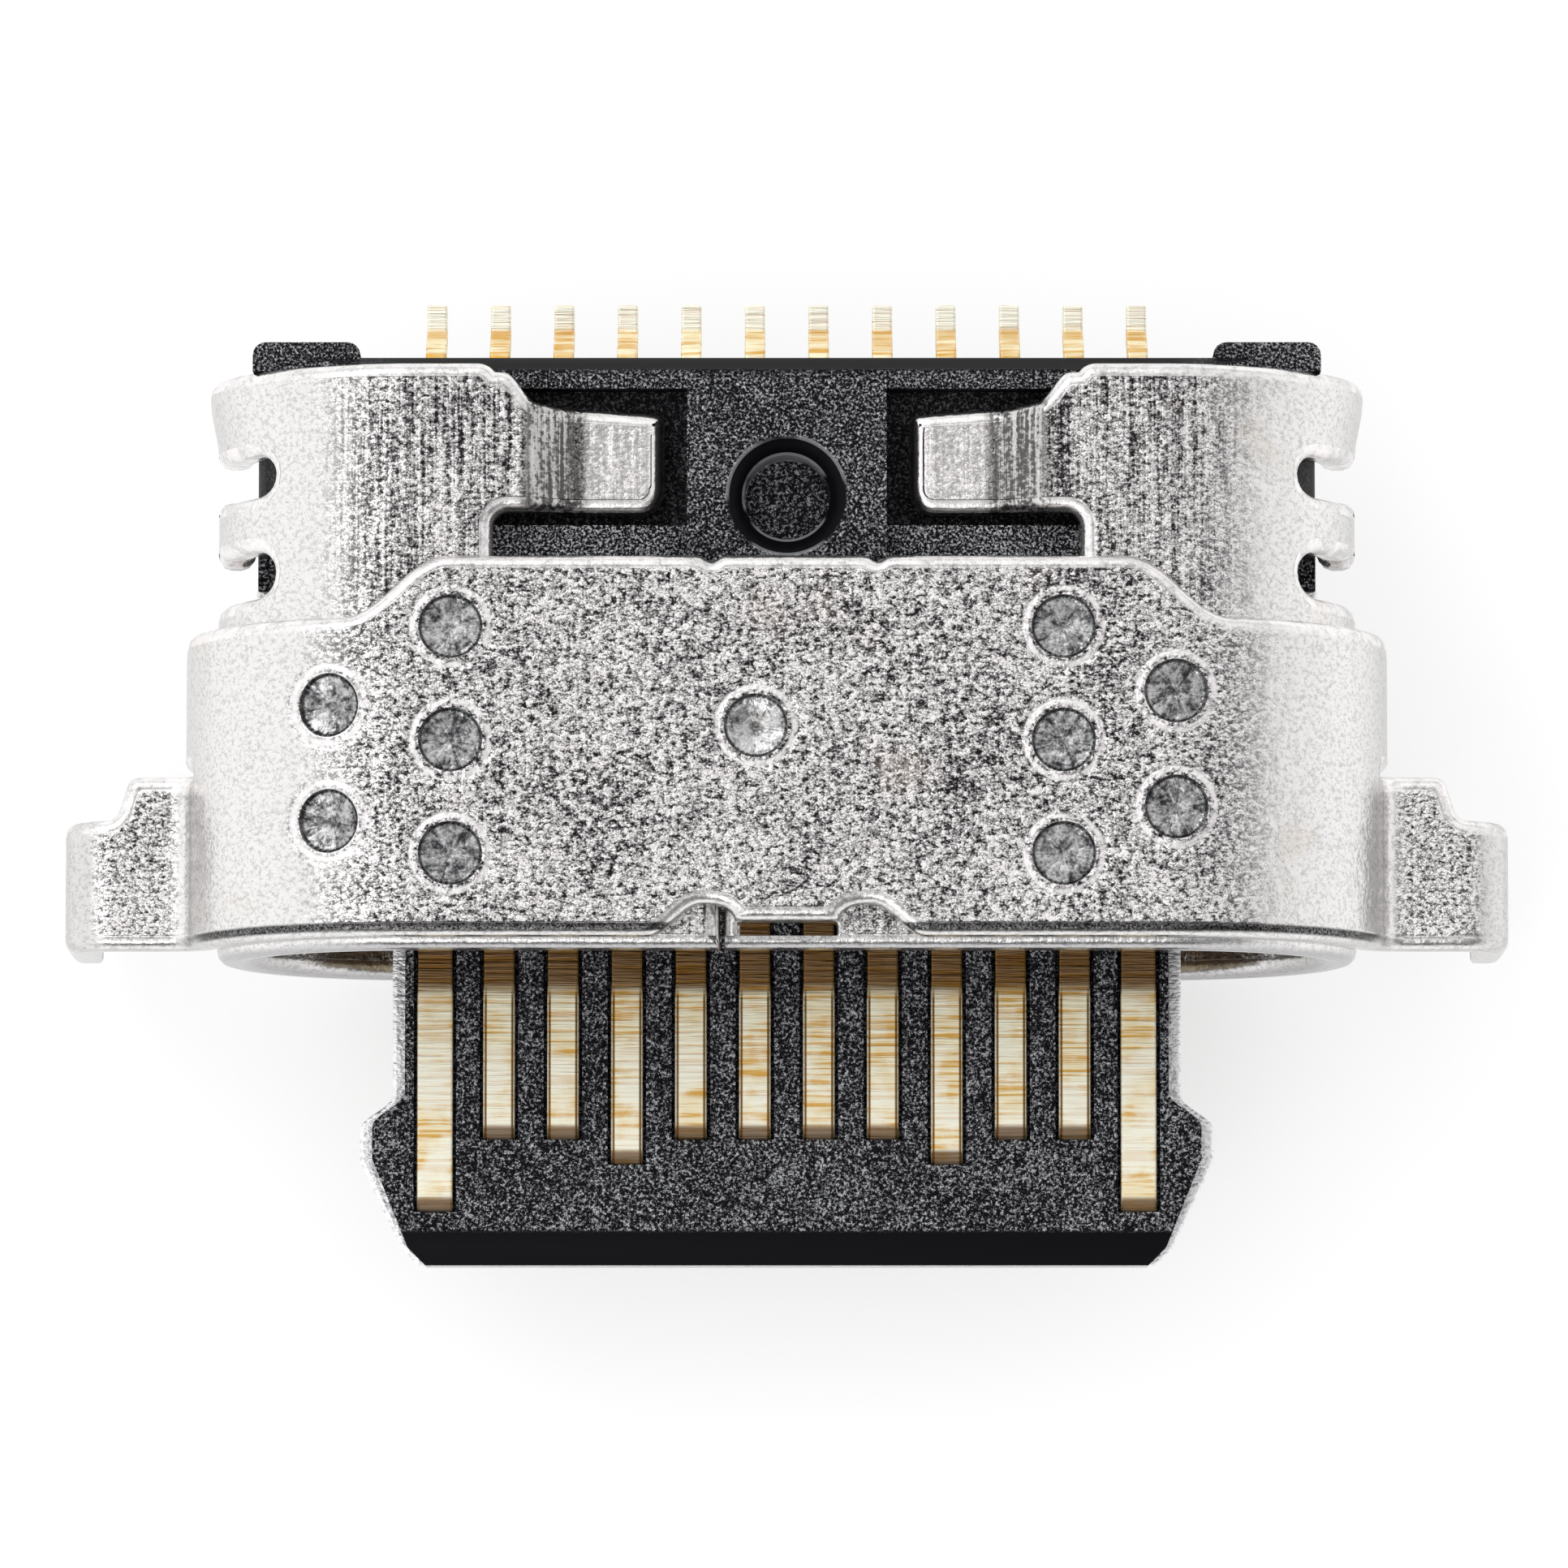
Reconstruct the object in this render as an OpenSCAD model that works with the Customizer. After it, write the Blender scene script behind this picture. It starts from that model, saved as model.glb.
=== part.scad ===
// Sunk-plate board socket for a reversible 24-contact plug, with a short shell and an open tongue.
// Millimetres. The origin is on the plug axis, in the plane of the shell's mouth.
// +X is to the right, +Y runs back to the solder tails and +Z is up, away from the board.

/* [Shell] */
// Clear width of the plug mouth
mouth_w = 8.34; // [8.2:0.01:8.6]
// Clear height of the plug mouth
mouth_h = 2.56; // [2.5:0.01:2.7]
// Sheet thickness of the rolled shell
shell_t = 0.3; // [0.2:0.01:0.35]
// Length of the shell along its top
shell_len = 4.57; // [4.5:0.01:4.8]
// Length of the shell along its floor
floor_len = 3.2; // [3.1:0.01:3.3]
// Width of the seam where the two ends of the rolled sheet meet
seam_gap = 0.03; // [0.02:0.01:0.06]
// Distance of the seam to the left of the middle
seam_x = 0.5; // [0.45:0.01:0.6]
// Width of the open window in the rear of the top
window_w = 4.56; // [4.4:0.01:4.8]
// Distance from the mouth to the window
window_y = 2.82; // [2.75:0.01:2.9]
// Radius of the window's front corners
window_r = 0.12; // [0.08:0.01:0.2]
// How far the lobes behind the fingers reach in past the window's sides
lobe_in = 0.22; // [0.15:0.01:0.24]
// Rounding of the ends of the lobes
lobe_r = 0.25; // [0.15:0.01:0.3]
// Width of the lock slot under the cover's front tab
lock_slot_w = 0.78; // [0.7:0.01:0.84]
// Length of the lock slot
lock_slot_len = 0.13; // [0.1:0.01:0.16]
// Distance from the mouth to the lock slot
lock_slot_y = 0.09; // [0.07:0.01:0.12]

/* [Side notches] */
// Depth of the notches, measured in from the side of the shell
notch_depth = 0.45; // [0.4:0.01:0.5]
// Length of the front notch
front_notch_len = 0.36; // [0.3:0.01:0.4]
// Distance from the mouth to the middle of the front notch
front_notch_y = 2.98; // [2.95:0.01:3.02]
// Length of the rear notch
rear_notch_len = 0.31; // [0.25:0.01:0.36]
// Distance from the mouth to the middle of the rear notch
rear_notch_y = 3.75; // [3.7:0.01:3.8]

/* [Spring fingers] */
// Length of each finger from the edge of the window to its tip
finger_len = 1.33; // [1.2:0.01:1.4]
// Distance from the mouth to the front edge of the fingers
finger_y = 3.41; // [3.38:0.01:3.45]
// Width of a finger at its root
finger_w = 0.89; // [0.8:0.01:0.92]
// Width of a finger near its tip
finger_tip_w = 0.78; // [0.7:0.01:0.8]
// Depth to which a finger is pressed down
finger_drop = 0.22; // [0.15:0.01:0.26]
// Length of the flat root, before a finger slopes down
finger_root = 0.2; // [0.15:0.01:0.3]
// Length of the slope
finger_slope = 0.5; // [0.4:0.01:0.6]
// Radius on the middle line of the two bends
finger_bend_r = 0.18; // [0.15:0.01:0.2]
// Radius of the front corner of the tip
finger_front_r = 0.2; // [0.15:0.01:0.25]
// Radius of the rear corner of the tip
finger_rear_r = 0.07; // [0.05:0.01:0.1]

/* [Cover] */
// Sheet thickness of the cover
cover_t = 0.25; // [0.2:0.01:0.3]
// Set-back of the cover's front edge from the mouth
cover_y = 0.08; // [0.05:0.01:0.1]
// Length from the mouth to the cover's rear edge, in the middle
cover_len = 3.04; // [3:0.01:3.1]
// Length from the mouth to the cover's rear edge, at the sides
cover_side_len = 2.57; // [2.4:0.01:2.6]
// Width of the long middle part, where the rear edge starts to curve forward
neck_w = 5.24; // [5:0.01:5.4]
// Run of the curve between the middle part and the sides
neck_run = 0.83; // [0.6:0.01:0.9]
// Rounding of the lower rear corner of each side wall
side_corner_r = 0.3; // [0.2:0.01:0.4]
// Width of the tab between the two arches of the front edge
tab_w = 0.8; // [0.76:0.01:0.9]
// Set-back of the tab from the front edge
tab_back = 0.12; // [0.09:0.01:0.14]
// Width of each arch
arch_w = 0.68; // [0.6:0.01:0.8]
// Run of the steep side of each arch, next to the tab
arch_rise = 0.2; // [0.15:0.01:0.25]
// Flat at the top of each arch
arch_flat = 0.04; // [0.02:0.01:0.1]
// Height of each arch above the front edge
arch_h = 0.25; // [0.2:0.01:0.3]
// Radius of the two small dips in the rear edge
dip_r = 0.09; // [0.05:0.01:0.12]
// Distance between the two small dips
dip_spacing = 1.2; // [1:0.01:1.4]

/* [Wings and legs] */
// Span over the two solder legs
span = 11.34; // [11.2:0.01:11.6]
// Height of the board's top face above the plug axis
seat_z = 0.05; // [0.02:0.01:0.1]
// Set-back of the wings' front edge from the mouth
wing_y = 0.1; // [0.08:0.01:0.15]
// Length of a wing at its shoulder
wing_len = 1.36; // [1.3:0.01:1.45]
// Length of a leg
leg_len = 1.02; // [0.9:0.01:1.1]
// Depth of the legs below the board's top face
leg_depth = 1.15; // [1:0.01:1.3]
// Inner radius of the bend between a side wall and its wing
flare_r = 0.17; // [0.1:0.01:0.2]
// Inner radius of the bend between a wing and its leg
leg_r = 0.15; // [0.1:0.01:0.2]
// Run of the curve between the shoulder and the leg
shoulder_run = 0.22; // [0.15:0.01:0.25]
// Distance from the outside of a leg to the end of that curve
shoulder_in = 0.34; // [0.3:0.01:0.4]
// Slit between a wing and the side wall behind it
wing_slit = 0.04; // [0.03:0.01:0.06]

/* [Weld spots] */

// Diameter of a weld dimple
weld_d = 0.5; // [0.4:0.01:0.6]
// Depth of a weld dimple
weld_depth = 0.07; // [0.04:0.01:0.1]
// Diameter of a dimple's flat floor
weld_floor_d = 0.08; // [0.05:0.01:0.12]
// Spacing along the two rows of three welds
weld_pitch = 0.88; // [0.8:0.01:0.9]
// Distance from the mouth to the first weld of both rows
weld_row_y = 0.72; // [0.65:0.01:0.8]
// Distance of the left row from the middle
left_row_x = 2.6; // [2.5:0.01:2.7]
// Distance of the right row from the middle
right_row_x = 2.14; // [2.05:0.01:2.2]
// Spacing of the two welds in each outer pair
pair_pitch = 0.9; // [0.85:0.01:0.95]
// Distance of the left pair from the middle
left_pair_x = 3.55; // [3.45:0.01:3.6]
// Distance from the mouth to the first weld of the left pair
left_pair_y = 0.98; // [0.9:0.01:1.05]
// Distance of the right pair from the middle
right_pair_x = 3.01; // [2.95:0.01:3.1]
// Distance from the mouth to the first weld of the right pair
right_pair_y = 1.08; // [1:0.01:1.15]
// Distance of the single weld to the left of the middle
single_x = 0.24; // [0.15:0.01:0.3]
// Distance from the mouth to the single weld
single_y = 1.71; // [1.65:0.01:1.8]

/* [Tongue] */
// Distance that the tongue stands out of the mouth
tongue_out = 2.365; // [2.3:0.005:2.45]
// Thickness of the tongue
tongue_t = 0.7; // [0.66:0.01:0.72]
// Width over the steel plate in the tongue
tongue_w = 6.69; // [6.6:0.01:6.75]
// Width of the steel plate between the latch notches
latch_w = 6.18; // [6.1:0.01:6.25]
// Width of the steel plate at the tip, before its corners
tip_w = 6.04; // [5.9:0.01:6.1]
// Cut of the two corners at the tip
tip_corner = 0.14; // [0.1:0.01:0.16]
// Distance from the tip to the end of the side taper
taper_len = 0.82; // [0.75:0.01:0.9]
// Distance from the tip to the front end of a latch notch
latch_y = 1.07; // [1.02:0.01:1.1]
// Run of the curve into a latch notch
latch_run = 0.27; // [0.2:0.01:0.3]
// How far the steel plate stands out of the plastic at the sides
rim = 0.105; // [0.08:0.005:0.12]
// Length of the sloping face at the tip
nose_len = 0.26; // [0.2:0.01:0.3]
// Height of the blunt end at the tip
nose_h = 0.24; // [0.2:0.01:0.3]
// Distance from the mouth back to the collar
collar_y = 0.95; // [0.85:0.01:1]
// Thickness of the collar's plastic
collar_t = 0.9; // [0.86:0.01:0.94]
// Distance from the mouth back to the wall that the plug stops at
stop_y = 2.05; // [2:0.01:2.1]

/* [Housing] */
// Clearance between the base block and the shell, above and at the sides
base_gap = 0.01; // [0.005:0.005:0.02]
// Length from the mouth to the end of the deep part of the base
base_len = 3.45; // [3.42:0.01:3.5]
// How far the rear deck stands out behind the shell
deck_out = 0.11; // [0.08:0.01:0.15]
// Clearance between the rear deck and the board
deck_gap = 0.07; // [0.05:0.01:0.1]
// Height of the slope on the deck's rear edge
deck_slope_h = 0.3; // [0.2:0.01:0.35]
// Run of the slope on the deck's rear edge
deck_slope_run = 0.13; // [0.1:0.01:0.18]
// Width of the block between the spring fingers
block_w = 1.55; // [1.4:0.01:1.6]
// Length from the mouth to the rear face of the block
block_len = 4.45; // [4.4:0.01:4.5]
// Drop from the underside of the cover to the top of the block
block_gap = 0.03; // [0.02:0.01:0.05]
// Clearance in front of the spring fingers, in their pockets
pocket_gap = 0.08; // [0.06:0.01:0.1]
// Length from the mouth to the rear wall of the pockets
pocket_len = 4.4; // [4.38:0.01:4.44]
// Diameter of the round recess in the block
recess_d = 0.66; // [0.6:0.01:0.7]
// Diameter of the bevel round the recess
recess_bevel_d = 0.92; // [0.85:0.01:0.95]
// Depth of the recess
recess_depth = 0.45; // [0.35:0.01:0.5]
// Distance from the mouth to the middle of the recess
recess_y = 3.53; // [3.5:0.01:3.6]
// Width of the lugs at the rear corners
lug_w = 0.84; // [0.7:0.01:0.9]
// Rounding of the lugs
lug_r = 0.1; // [0.05:0.01:0.15]
// Distance between the middles of the two lugs
lug_spacing = 7.5; // [7.4:0.01:7.55]
// How far the lugs stand out behind the shell
lug_out = 0.23; // [0.18:0.01:0.28]
// Height of the lugs above the board
lug_h = 0.95; // [0.8:0.01:1]

/* [Wafers and plate] */
// Width of the two wafers that hold the contacts
wafer_w = 6.2; // [6.1:0.01:6.4]
// Distance from the stop wall to the wafers
wafer_inset = 0.2; // [0.15:0.01:0.25]
// Height of the wafers, from the steel plate outward
wafer_h = 0.72; // [0.65:0.01:0.8]
// Thickness of the steel plate
plate_t = 0.15; // [0.12:0.01:0.16]
// Length from the mouth to the rear end of the steel plate
plate_len = 2.95; // [2.9:0.01:3]
// Width of the ears that ground the plate on the shell
ear_w = 0.8; // [0.6:0.01:0.9]
// Width of the ears that is bare of plastic, next to the shell
ear_bare = 0.16; // [0.1:0.01:0.2]
// Diameter of the holes that let the plastic bond through the plate
bond_hole_d = 0.6; // [0.4:0.01:0.7]
// Spacing of those holes
bond_hole_pitch = 1.5; // [1.2:0.01:1.6]

/* [Ground pads] */
// Thickness of the ground pads
pad_t = 0.1; // [0.08:0.01:0.12]
// Width of the ground pads
pad_w = 5.6; // [5.2:0.01:5.7]
// Inner radius of their bend
pad_r = 0.06; // [0.04:0.01:0.1]

/* [Contacts] */
// Number of contacts in each row
row_count = 12; // [12]
// Spacing of the contacts
pitch = 0.5; // [0.48:0.01:0.5]
// Thickness of the contact strip
contact_t = 0.15; // [0.12:0.01:0.16]
// Width of a signal or power blade
blade_w = 0.25; // [0.2:0.01:0.27]
// Width of a ground blade, at the ends of a row
ground_w = 0.28; // [0.25:0.01:0.3]
// Distance from the tongue's tip to the ground blades
ground_start = 0.43; // [0.4:0.01:0.5]
// Distance from the tongue's tip to the power blades
power_start = 0.8; // [0.75:0.01:0.85]
// Distance from the tongue's tip to the signal blades
signal_start = 0.995; // [0.95:0.005:1.05]
// Clearance round a blade in its slot
slot_gap = 0.025; // [0.01:0.005:0.03]
// Width of a solder tail
tail_w = 0.16; // [0.12:0.01:0.2]
// How far the upper tails reach behind the shell
tail_out = 0.63; // [0.55:0.01:0.7]
// Length of the flat foot of an upper tail
foot_len = 0.26; // [0.2:0.01:0.3]
// Lift of the upper contacts over the lower tails, above the board
lift = 0.4; // [0.38:0.01:0.45]
// Length from the mouth to the ends of the lower tails
lower_tail_len = 4.25; // [4.1:0.01:4.3]
// Distance from the front of the upper wafer to the rise of its contacts
rise_y = 0.1; // [0.05:0.01:0.15]
// Run of that rise
rise_run = 0.3; // [0.25:0.01:0.35]
// Distance that the upper tails run out behind the deck before they turn down
tail_clear = 0.06; // [0.04:0.01:0.1]
// Distance of the lower contacts' two bends from the plate and from the end of the base
bend_gap = 0.05; // [0.03:0.01:0.06]
// Radius on the middle line of the contacts' bends
bend_r = 0.1; // [0.08:0.01:0.12]

/* [Hidden] */
$fn = 64;
// Extra length of a cut past the face it goes through
past = 1;

// Section of the shell: two round ends joined by flats
corner_x = (mouth_w - mouth_h) / 2;
in_r = mouth_h / 2;
out_r = in_r + shell_t;
cover_r = out_r + cover_t;
shell_x = corner_x + out_r;
// Where the edges of the plate's ears meet the round inner wall of the shell
ear_x = corner_x + sqrt(pow(in_r, 2) - pow(plate_t / 2, 2));

// Tongue
tip_y = -tongue_out;
top_z = tongue_t / 2;
root_x = latch_w / 2;
taper_y = tip_y + taper_len;
latch_shoulder_y = tip_y + latch_y;
latch_floor_y = latch_shoulder_y + latch_run;

// Base
deck_y = shell_len + deck_out;
deck_z = seat_z + deck_gap;
base_r = in_r - base_gap;
wafer_y = stop_y + wafer_inset;
wafer_end_y = plate_len + bend_gap;
wafer_mid_y = (wafer_y + wafer_end_y) / 2;
block_z = out_r - block_gap;
pocket_z = in_r - finger_drop;

// Cover
half_span = span / 2;
wing_top_z = seat_z + cover_t;
flare_z = wing_top_z + flare_r;
flare_a = asin(flare_z / (cover_r + flare_r));
flare_x = corner_x + sqrt(pow(cover_r + flare_r, 2) - pow(flare_z, 2));
leg_bend_x = half_span - leg_r - cover_t;
leg_bend_z = seat_z - leg_r;
wing_end_y = wing_y + wing_len;
leg_end_y = wing_y + leg_len;
tab_y = cover_y + tab_back;

// Welds: two rows of three, a pair beyond each of them and one near the middle
welds = concat(
    [for (i = [0:2]) [-left_row_x, weld_row_y + i * weld_pitch]],
    [for (i = [0:2]) [right_row_x, weld_row_y + i * weld_pitch]],
    [for (i = [0, 1]) [-left_pair_x, left_pair_y + i * pair_pitch]],
    [for (i = [0, 1]) [right_pair_x, right_pair_y + i * pair_pitch]],
    [[-single_x, single_y]]
);

// Contacts
blade_z = top_z - contact_t / 2;
foot_z = seat_z + contact_t / 2;
run_z = foot_z + lift;
row_x = (row_count - 1) / 2;

// Points along an arc of radius r about c, from angle a to angle b
function arc(c, r, a, b, n = 8) = [for (i = [0:n]) let (t = a + (b - a) * i / n) c + r * [cos(t), sin(t)]];
// Points of a smooth step from p to q that leaves and arrives along X
function step_x(p, q, n = 8) =
    [for (i = [0:n]) let (t = i / n) [p[0] + (q[0] - p[0]) * t, p[1] + (q[1] - p[1]) * (1 - cos(180 * t)) / 2]];
// Points of a smooth step from p to q that leaves and arrives along Y
function step_y(p, q, n = 8) =
    [for (i = [0:n]) let (t = i / n) [p[0] + (q[0] - p[0]) * (1 - cos(180 * t)) / 2, p[1] + (q[1] - p[1]) * t]];
// The same points on the other side of the Y axis, in reverse order
function other_side(p) = [for (i = [len(p) - 1:-1:0]) [-p[i][0], p[i][1]]];
function unit(v) = v / norm(v);
// A path with each inner corner rounded to radius r
function round_path(p, r, n = 3) = [
    p[0],
    for (i = [1:len(p) - 2])
        let (a = unit(p[i - 1] - p[i]), b = unit(p[i + 1] - p[i]), half = acos(a * b) / 2)
        let (m = unit(a + b), c = p[i] + m * r / sin(half), s = sign(a[0] * b[1] - a[1] * b[0]))
        for (j = [0:n]) let (t = (j / n - 0.5) * (180 - 2 * half) * -s)
            c - r * [m[0] * cos(t) - m[1] * sin(t), m[0] * sin(t) + m[1] * cos(t)],
    p[len(p) - 1]
];
// Offset direction at point i of a path, long enough to keep the strip's thickness in a bend
function side_way(p, i) =
    let (a = i == 0 ? unit(p[1] - p[0]) : unit(p[i] - p[i - 1]))
    let (b = i == len(p) - 1 ? a : unit(p[i + 1] - p[i]))
    let (m = unit(a + b), n = [-m[1], m[0]])
    n / (n * [-a[1], a[0]]);
// Outline of a strip of thickness t along a path
function strip(p, t) = concat(
    [for (i = [0:len(p) - 1]) p[i] + side_way(p, i) * t / 2],
    [for (i = [len(p) - 1:-1:0]) p[i] - side_way(p, i) * t / 2]
);

// Distance from the tongue's tip to the front end of blade i
function blade_start(i) =
    i == 0 || i == row_count - 1 ? ground_start
    : i == 3 || i == row_count - 4 ? power_start
    : signal_start;
function blade_width(i) = i == 0 || i == row_count - 1 ? ground_w : blade_w;
function contact_x(i) = (i - row_x) * pitch;

// Half outline of the tongue from its tip to y_end; inset is how far the sides lie inside the plate's
function tongue_half(inset, y_end) = concat(
    [[tip_w / 2 - tip_corner - inset / 2, tip_y], [tip_w / 2 - inset / 2, tip_y + tip_corner]],
    [[tongue_w / 2 - inset, taper_y]],
    step_y([tongue_w / 2 - inset, latch_shoulder_y], [root_x - inset, latch_floor_y]),
    [[root_x - inset, y_end]]
);

// Extrude an XZ section along Y, a YZ section along X and an XY outline along Z
module along_y(y0, y1) translate([0, y1, 0]) rotate([90, 0, 0]) linear_extrude(y1 - y0) children();
module along_x(x0, x1) translate([x0, 0, 0]) rotate([90, 0, 90]) linear_extrude(x1 - x0) children();
module along_z(z0, z1) translate([0, 0, z0]) linear_extrude(z1 - z0) children();
module box(a, b) translate(a) cube(b - a);
module both_sides() {
    children();
    mirror([1, 0, 0]) children();
}

// The section's outline at radius r of its round ends
module stadium(r) {
    translate([-corner_x, -r]) square([2 * corner_x, 2 * r]);
    for (s = [-1, 1]) translate([s * corner_x, 0]) circle(r);
}

// ---- Shell ----

// Plan of the open window behind the cover, up to the fingers' front edge
module window_front_plan() {
    w = window_w / 2;
    half = concat([[w, window_y]], arc([w - window_r, finger_y - window_r], window_r, 0, 90));
    polygon(concat(half, other_side(half)));
}

// Plan of the open window behind the fingers, widening round the ends of the lobes
module window_rear_plan() {
    w = window_w / 2 - lobe_in;
    c = [w + lobe_r, shell_len - lobe_r];
    half = concat([[w, finger_y]], arc(c, lobe_r, 180, 90), [[c[0], shell_len + past]]);
    polygon(concat(half, other_side(half)));
}

// Plan of one notch in the right-hand side
module notch_plan(y, length) {
    x = shell_x - notch_depth + length / 2;
    translate([x, y]) circle(length / 2);
    translate([x, y - length / 2]) square([notch_depth + past, length]);
}

// Right-hand finger: a strip with a slope, cut to its plan
module finger() {
    w = window_w / 2;
    tip_x = w - finger_len;
    mid_z = (in_r + out_r) / 2;
    path = round_path([
        [w + lobe_r, mid_z],
        [w - finger_root, mid_z],
        [w - finger_root - finger_slope, mid_z - finger_drop],
        [tip_x, mid_z - finger_drop]
    ], finger_bend_r);
    tip_y1 = finger_y + finger_tip_w;
    plan = concat(
        [[w + lobe_r, finger_y]],
        arc([tip_x + finger_front_r, finger_y + finger_front_r], finger_front_r, 270, 180),
        arc([tip_x + finger_rear_r, tip_y1 - finger_rear_r], finger_rear_r, 180, 90, 4),
        [[w - lobe_r, finger_y + finger_w], [w + lobe_r, finger_y + finger_w]]
    );
    intersection() {
        along_y(finger_y - past, finger_y + finger_w + past) polygon(strip(path, shell_t));
        along_z(0, out_r + past) polygon(plan);
    }
}

module inner_shell() color([0.78, 0.77, 0.74]) {
    difference() {
        along_y(0, shell_len) stadium(out_r);
        along_y(-past, shell_len + past) stadium(in_r);
        // the floor ends in front of the board
        box([-shell_x - past, floor_len, -out_r - past], [shell_x + past, shell_len + past, seat_z]);
        // window and its two parts behind the cover
        along_z(0, out_r + past) window_front_plan();
        along_z(0, out_r + past) window_rear_plan();
        // side notches, and the relief of the floor's sides below the front ones
        both_sides() {
            along_z(seat_z, out_r) notch_plan(front_notch_y, front_notch_len);
            along_z(seat_z - past, out_r) notch_plan(rear_notch_y, rear_notch_len);
            box([corner_x + in_r, front_notch_y - front_notch_len / 2, -out_r],
                [shell_x + past, floor_len + past, seat_z]);
        }
        // seam and lock slot
        box([-seam_x - seam_gap / 2, -past, 0], [-seam_x + seam_gap / 2, window_y + past, out_r + past]);
        box([-lock_slot_w / 2, lock_slot_y, 0], [lock_slot_w / 2, lock_slot_y + lock_slot_len, out_r + past]);
    }
    both_sides() finger();
}

// ---- Cover ----

// Plan of the cover's top, from its arched front edge to its curved rear edge
module cover_plan() {
    w = tab_w / 2;
    wide = half_span;
    side = neck_w / 2 + neck_run;
    arch_top = cover_y + arch_h;
    half = concat(
        [for (i = [0:5]) let (t = 18 * i) [w + arch_rise * (1 - cos(t)), tab_y + (arch_top - tab_y) * sin(t)]],
        step_x([w + arch_rise + arch_flat, arch_top], [w + arch_w, cover_y]),
        [[wide, cover_y], [wide, cover_side_len]],
        step_x([side, cover_side_len], [neck_w / 2, cover_len])
    );
    polygon(concat(half, other_side(half)));
}

// Region of the section below the bend into the right-hand wing
module below_flare() {
    far = cover_r + past;
    polygon([
        [corner_x, 0],
        [corner_x + far * cos(flare_a), far * sin(flare_a)],
        [corner_x + far, -past],
        [corner_x, -past]
    ]);
}

// Section of the right-hand wing and leg, from the bend outward
module wing_section() {
    // hollow bend out of the side wall
    intersection() {
        translate([flare_x, flare_z]) difference() {
            circle(flare_r + cover_t);
            circle(flare_r);
        }
        polygon([
            [flare_x, flare_z],
            [flare_x - past * cos(flare_a), flare_z - past * sin(flare_a)],
            [flare_x - past * cos(flare_a), flare_z - past],
            [flare_x, flare_z - past]
        ]);
    }
    // flat wing and leg, with the outer corner rounded off and the inner one filled
    inner_x = half_span - cover_t;
    difference() {
        polygon([
            [flare_x, seat_z],
            [inner_x, seat_z],
            [inner_x, seat_z - leg_depth],
            [half_span, seat_z - leg_depth],
            [half_span, wing_top_z],
            [flare_x, wing_top_z]
        ]);
        translate([leg_bend_x, leg_bend_z]) difference() {
            square(past);
            circle(leg_r + cover_t);
        }
    }
    translate([leg_bend_x, leg_bend_z]) difference() {
        square(leg_r + cover_t / 4);
        circle(leg_r);
    }
}

// Plan of the right-hand wing: a shoulder that steps down to the leg
module wing_plan() {
    x = half_span - shoulder_in;
    polygon(concat(
        [[corner_x, wing_y], [half_span + past, wing_y], [half_span + past, leg_end_y]],
        step_y([x, leg_end_y], [x - shoulder_run, wing_end_y]),
        [[corner_x, wing_end_y]]
    ));
}

// Weld dimple at x, y, square to the surface there
module weld_dimple(x, y) {
    s = sign(x);
    flat_x = min(abs(x), corner_x);
    tilt = asin((abs(x) - flat_x) / cover_r);
    // the cone runs on above the surface
    rise = 1.5;
    translate([s * flat_x, y, 0]) rotate([0, s * tilt, 0]) translate([0, 0, cover_r - weld_depth])
        cylinder(h = weld_depth * rise, d1 = weld_floor_d, d2 = weld_floor_d + (weld_d - weld_floor_d) * rise);
}

module outer_cover() color([0.74, 0.73, 0.71]) {
    difference() {
        intersection() {
            along_y(cover_y, cover_len) difference() {
                stadium(cover_r);
                stadium(out_r);
                translate([-half_span, -cover_r - past]) square([span, cover_r + past + seat_z]);
            }
            along_z(0, cover_r + past) cover_plan();
        }
        // the side walls give way to the wings
        both_sides() along_y(0, wing_end_y + wing_slit) below_flare();
        // rounded lower rear corners
        both_sides() along_x(corner_x + in_r / 2, half_span) difference() {
            translate([cover_side_len - side_corner_r, seat_z - past])
                square([side_corner_r + past, side_corner_r + past]);
            translate([cover_side_len - side_corner_r, seat_z + side_corner_r]) circle(side_corner_r);
        }
        for (s = [-1, 1]) translate([s * dip_spacing / 2, cover_len + dip_r / 2, out_r - past])
            cylinder(h = cover_t + 2 * past, r = dip_r);
        for (w = welds) weld_dimple(w[0], w[1]);
    }
    both_sides() intersection() {
        along_y(wing_y, wing_end_y) wing_section();
        along_z(-past * 2, cover_r) wing_plan();
    }
}

// ---- Steel plate, ground pads and contacts ----

module mid_plate() color([0.8, 0.8, 0.78]) along_z(-plate_t / 2, plate_t / 2) difference() {
    half = concat(
        tongue_half(0, plate_len - ear_w),
        [[ear_x, plate_len - ear_w], [ear_x, plate_len], [root_x, plate_len]]
    );
    polygon(concat(half, other_side(half)));
    for (i = [-1.5:1.5]) translate([i * bond_hole_pitch, latch_floor_y]) circle(d = bond_hole_d);
}

module upper_ground_pad() color([0.72, 0.72, 0.7]) {
    z = (collar_t + pad_t) / 2;
    y = stop_y - pad_t / 2;
    path = round_path([[collar_y, z], [y, z], [y, in_r]], pad_r + pad_t / 2);
    along_x(-pad_w / 2, pad_w / 2) polygon(strip(path, pad_t));
}

module lower_ground_pad() mirror([0, 0, 1]) upper_ground_pad();

// Middle line of an upper contact from its front end back to its foot
function upper_path(i) = round_path([
    [tip_y + blade_start(i), blade_z],
    [wafer_y + rise_y, blade_z],
    [wafer_y + rise_y + rise_run, run_z],
    [deck_y + tail_clear, run_z],
    [shell_len + tail_out - foot_len, foot_z],
    [shell_len + tail_out, foot_z]
], bend_r);

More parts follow.
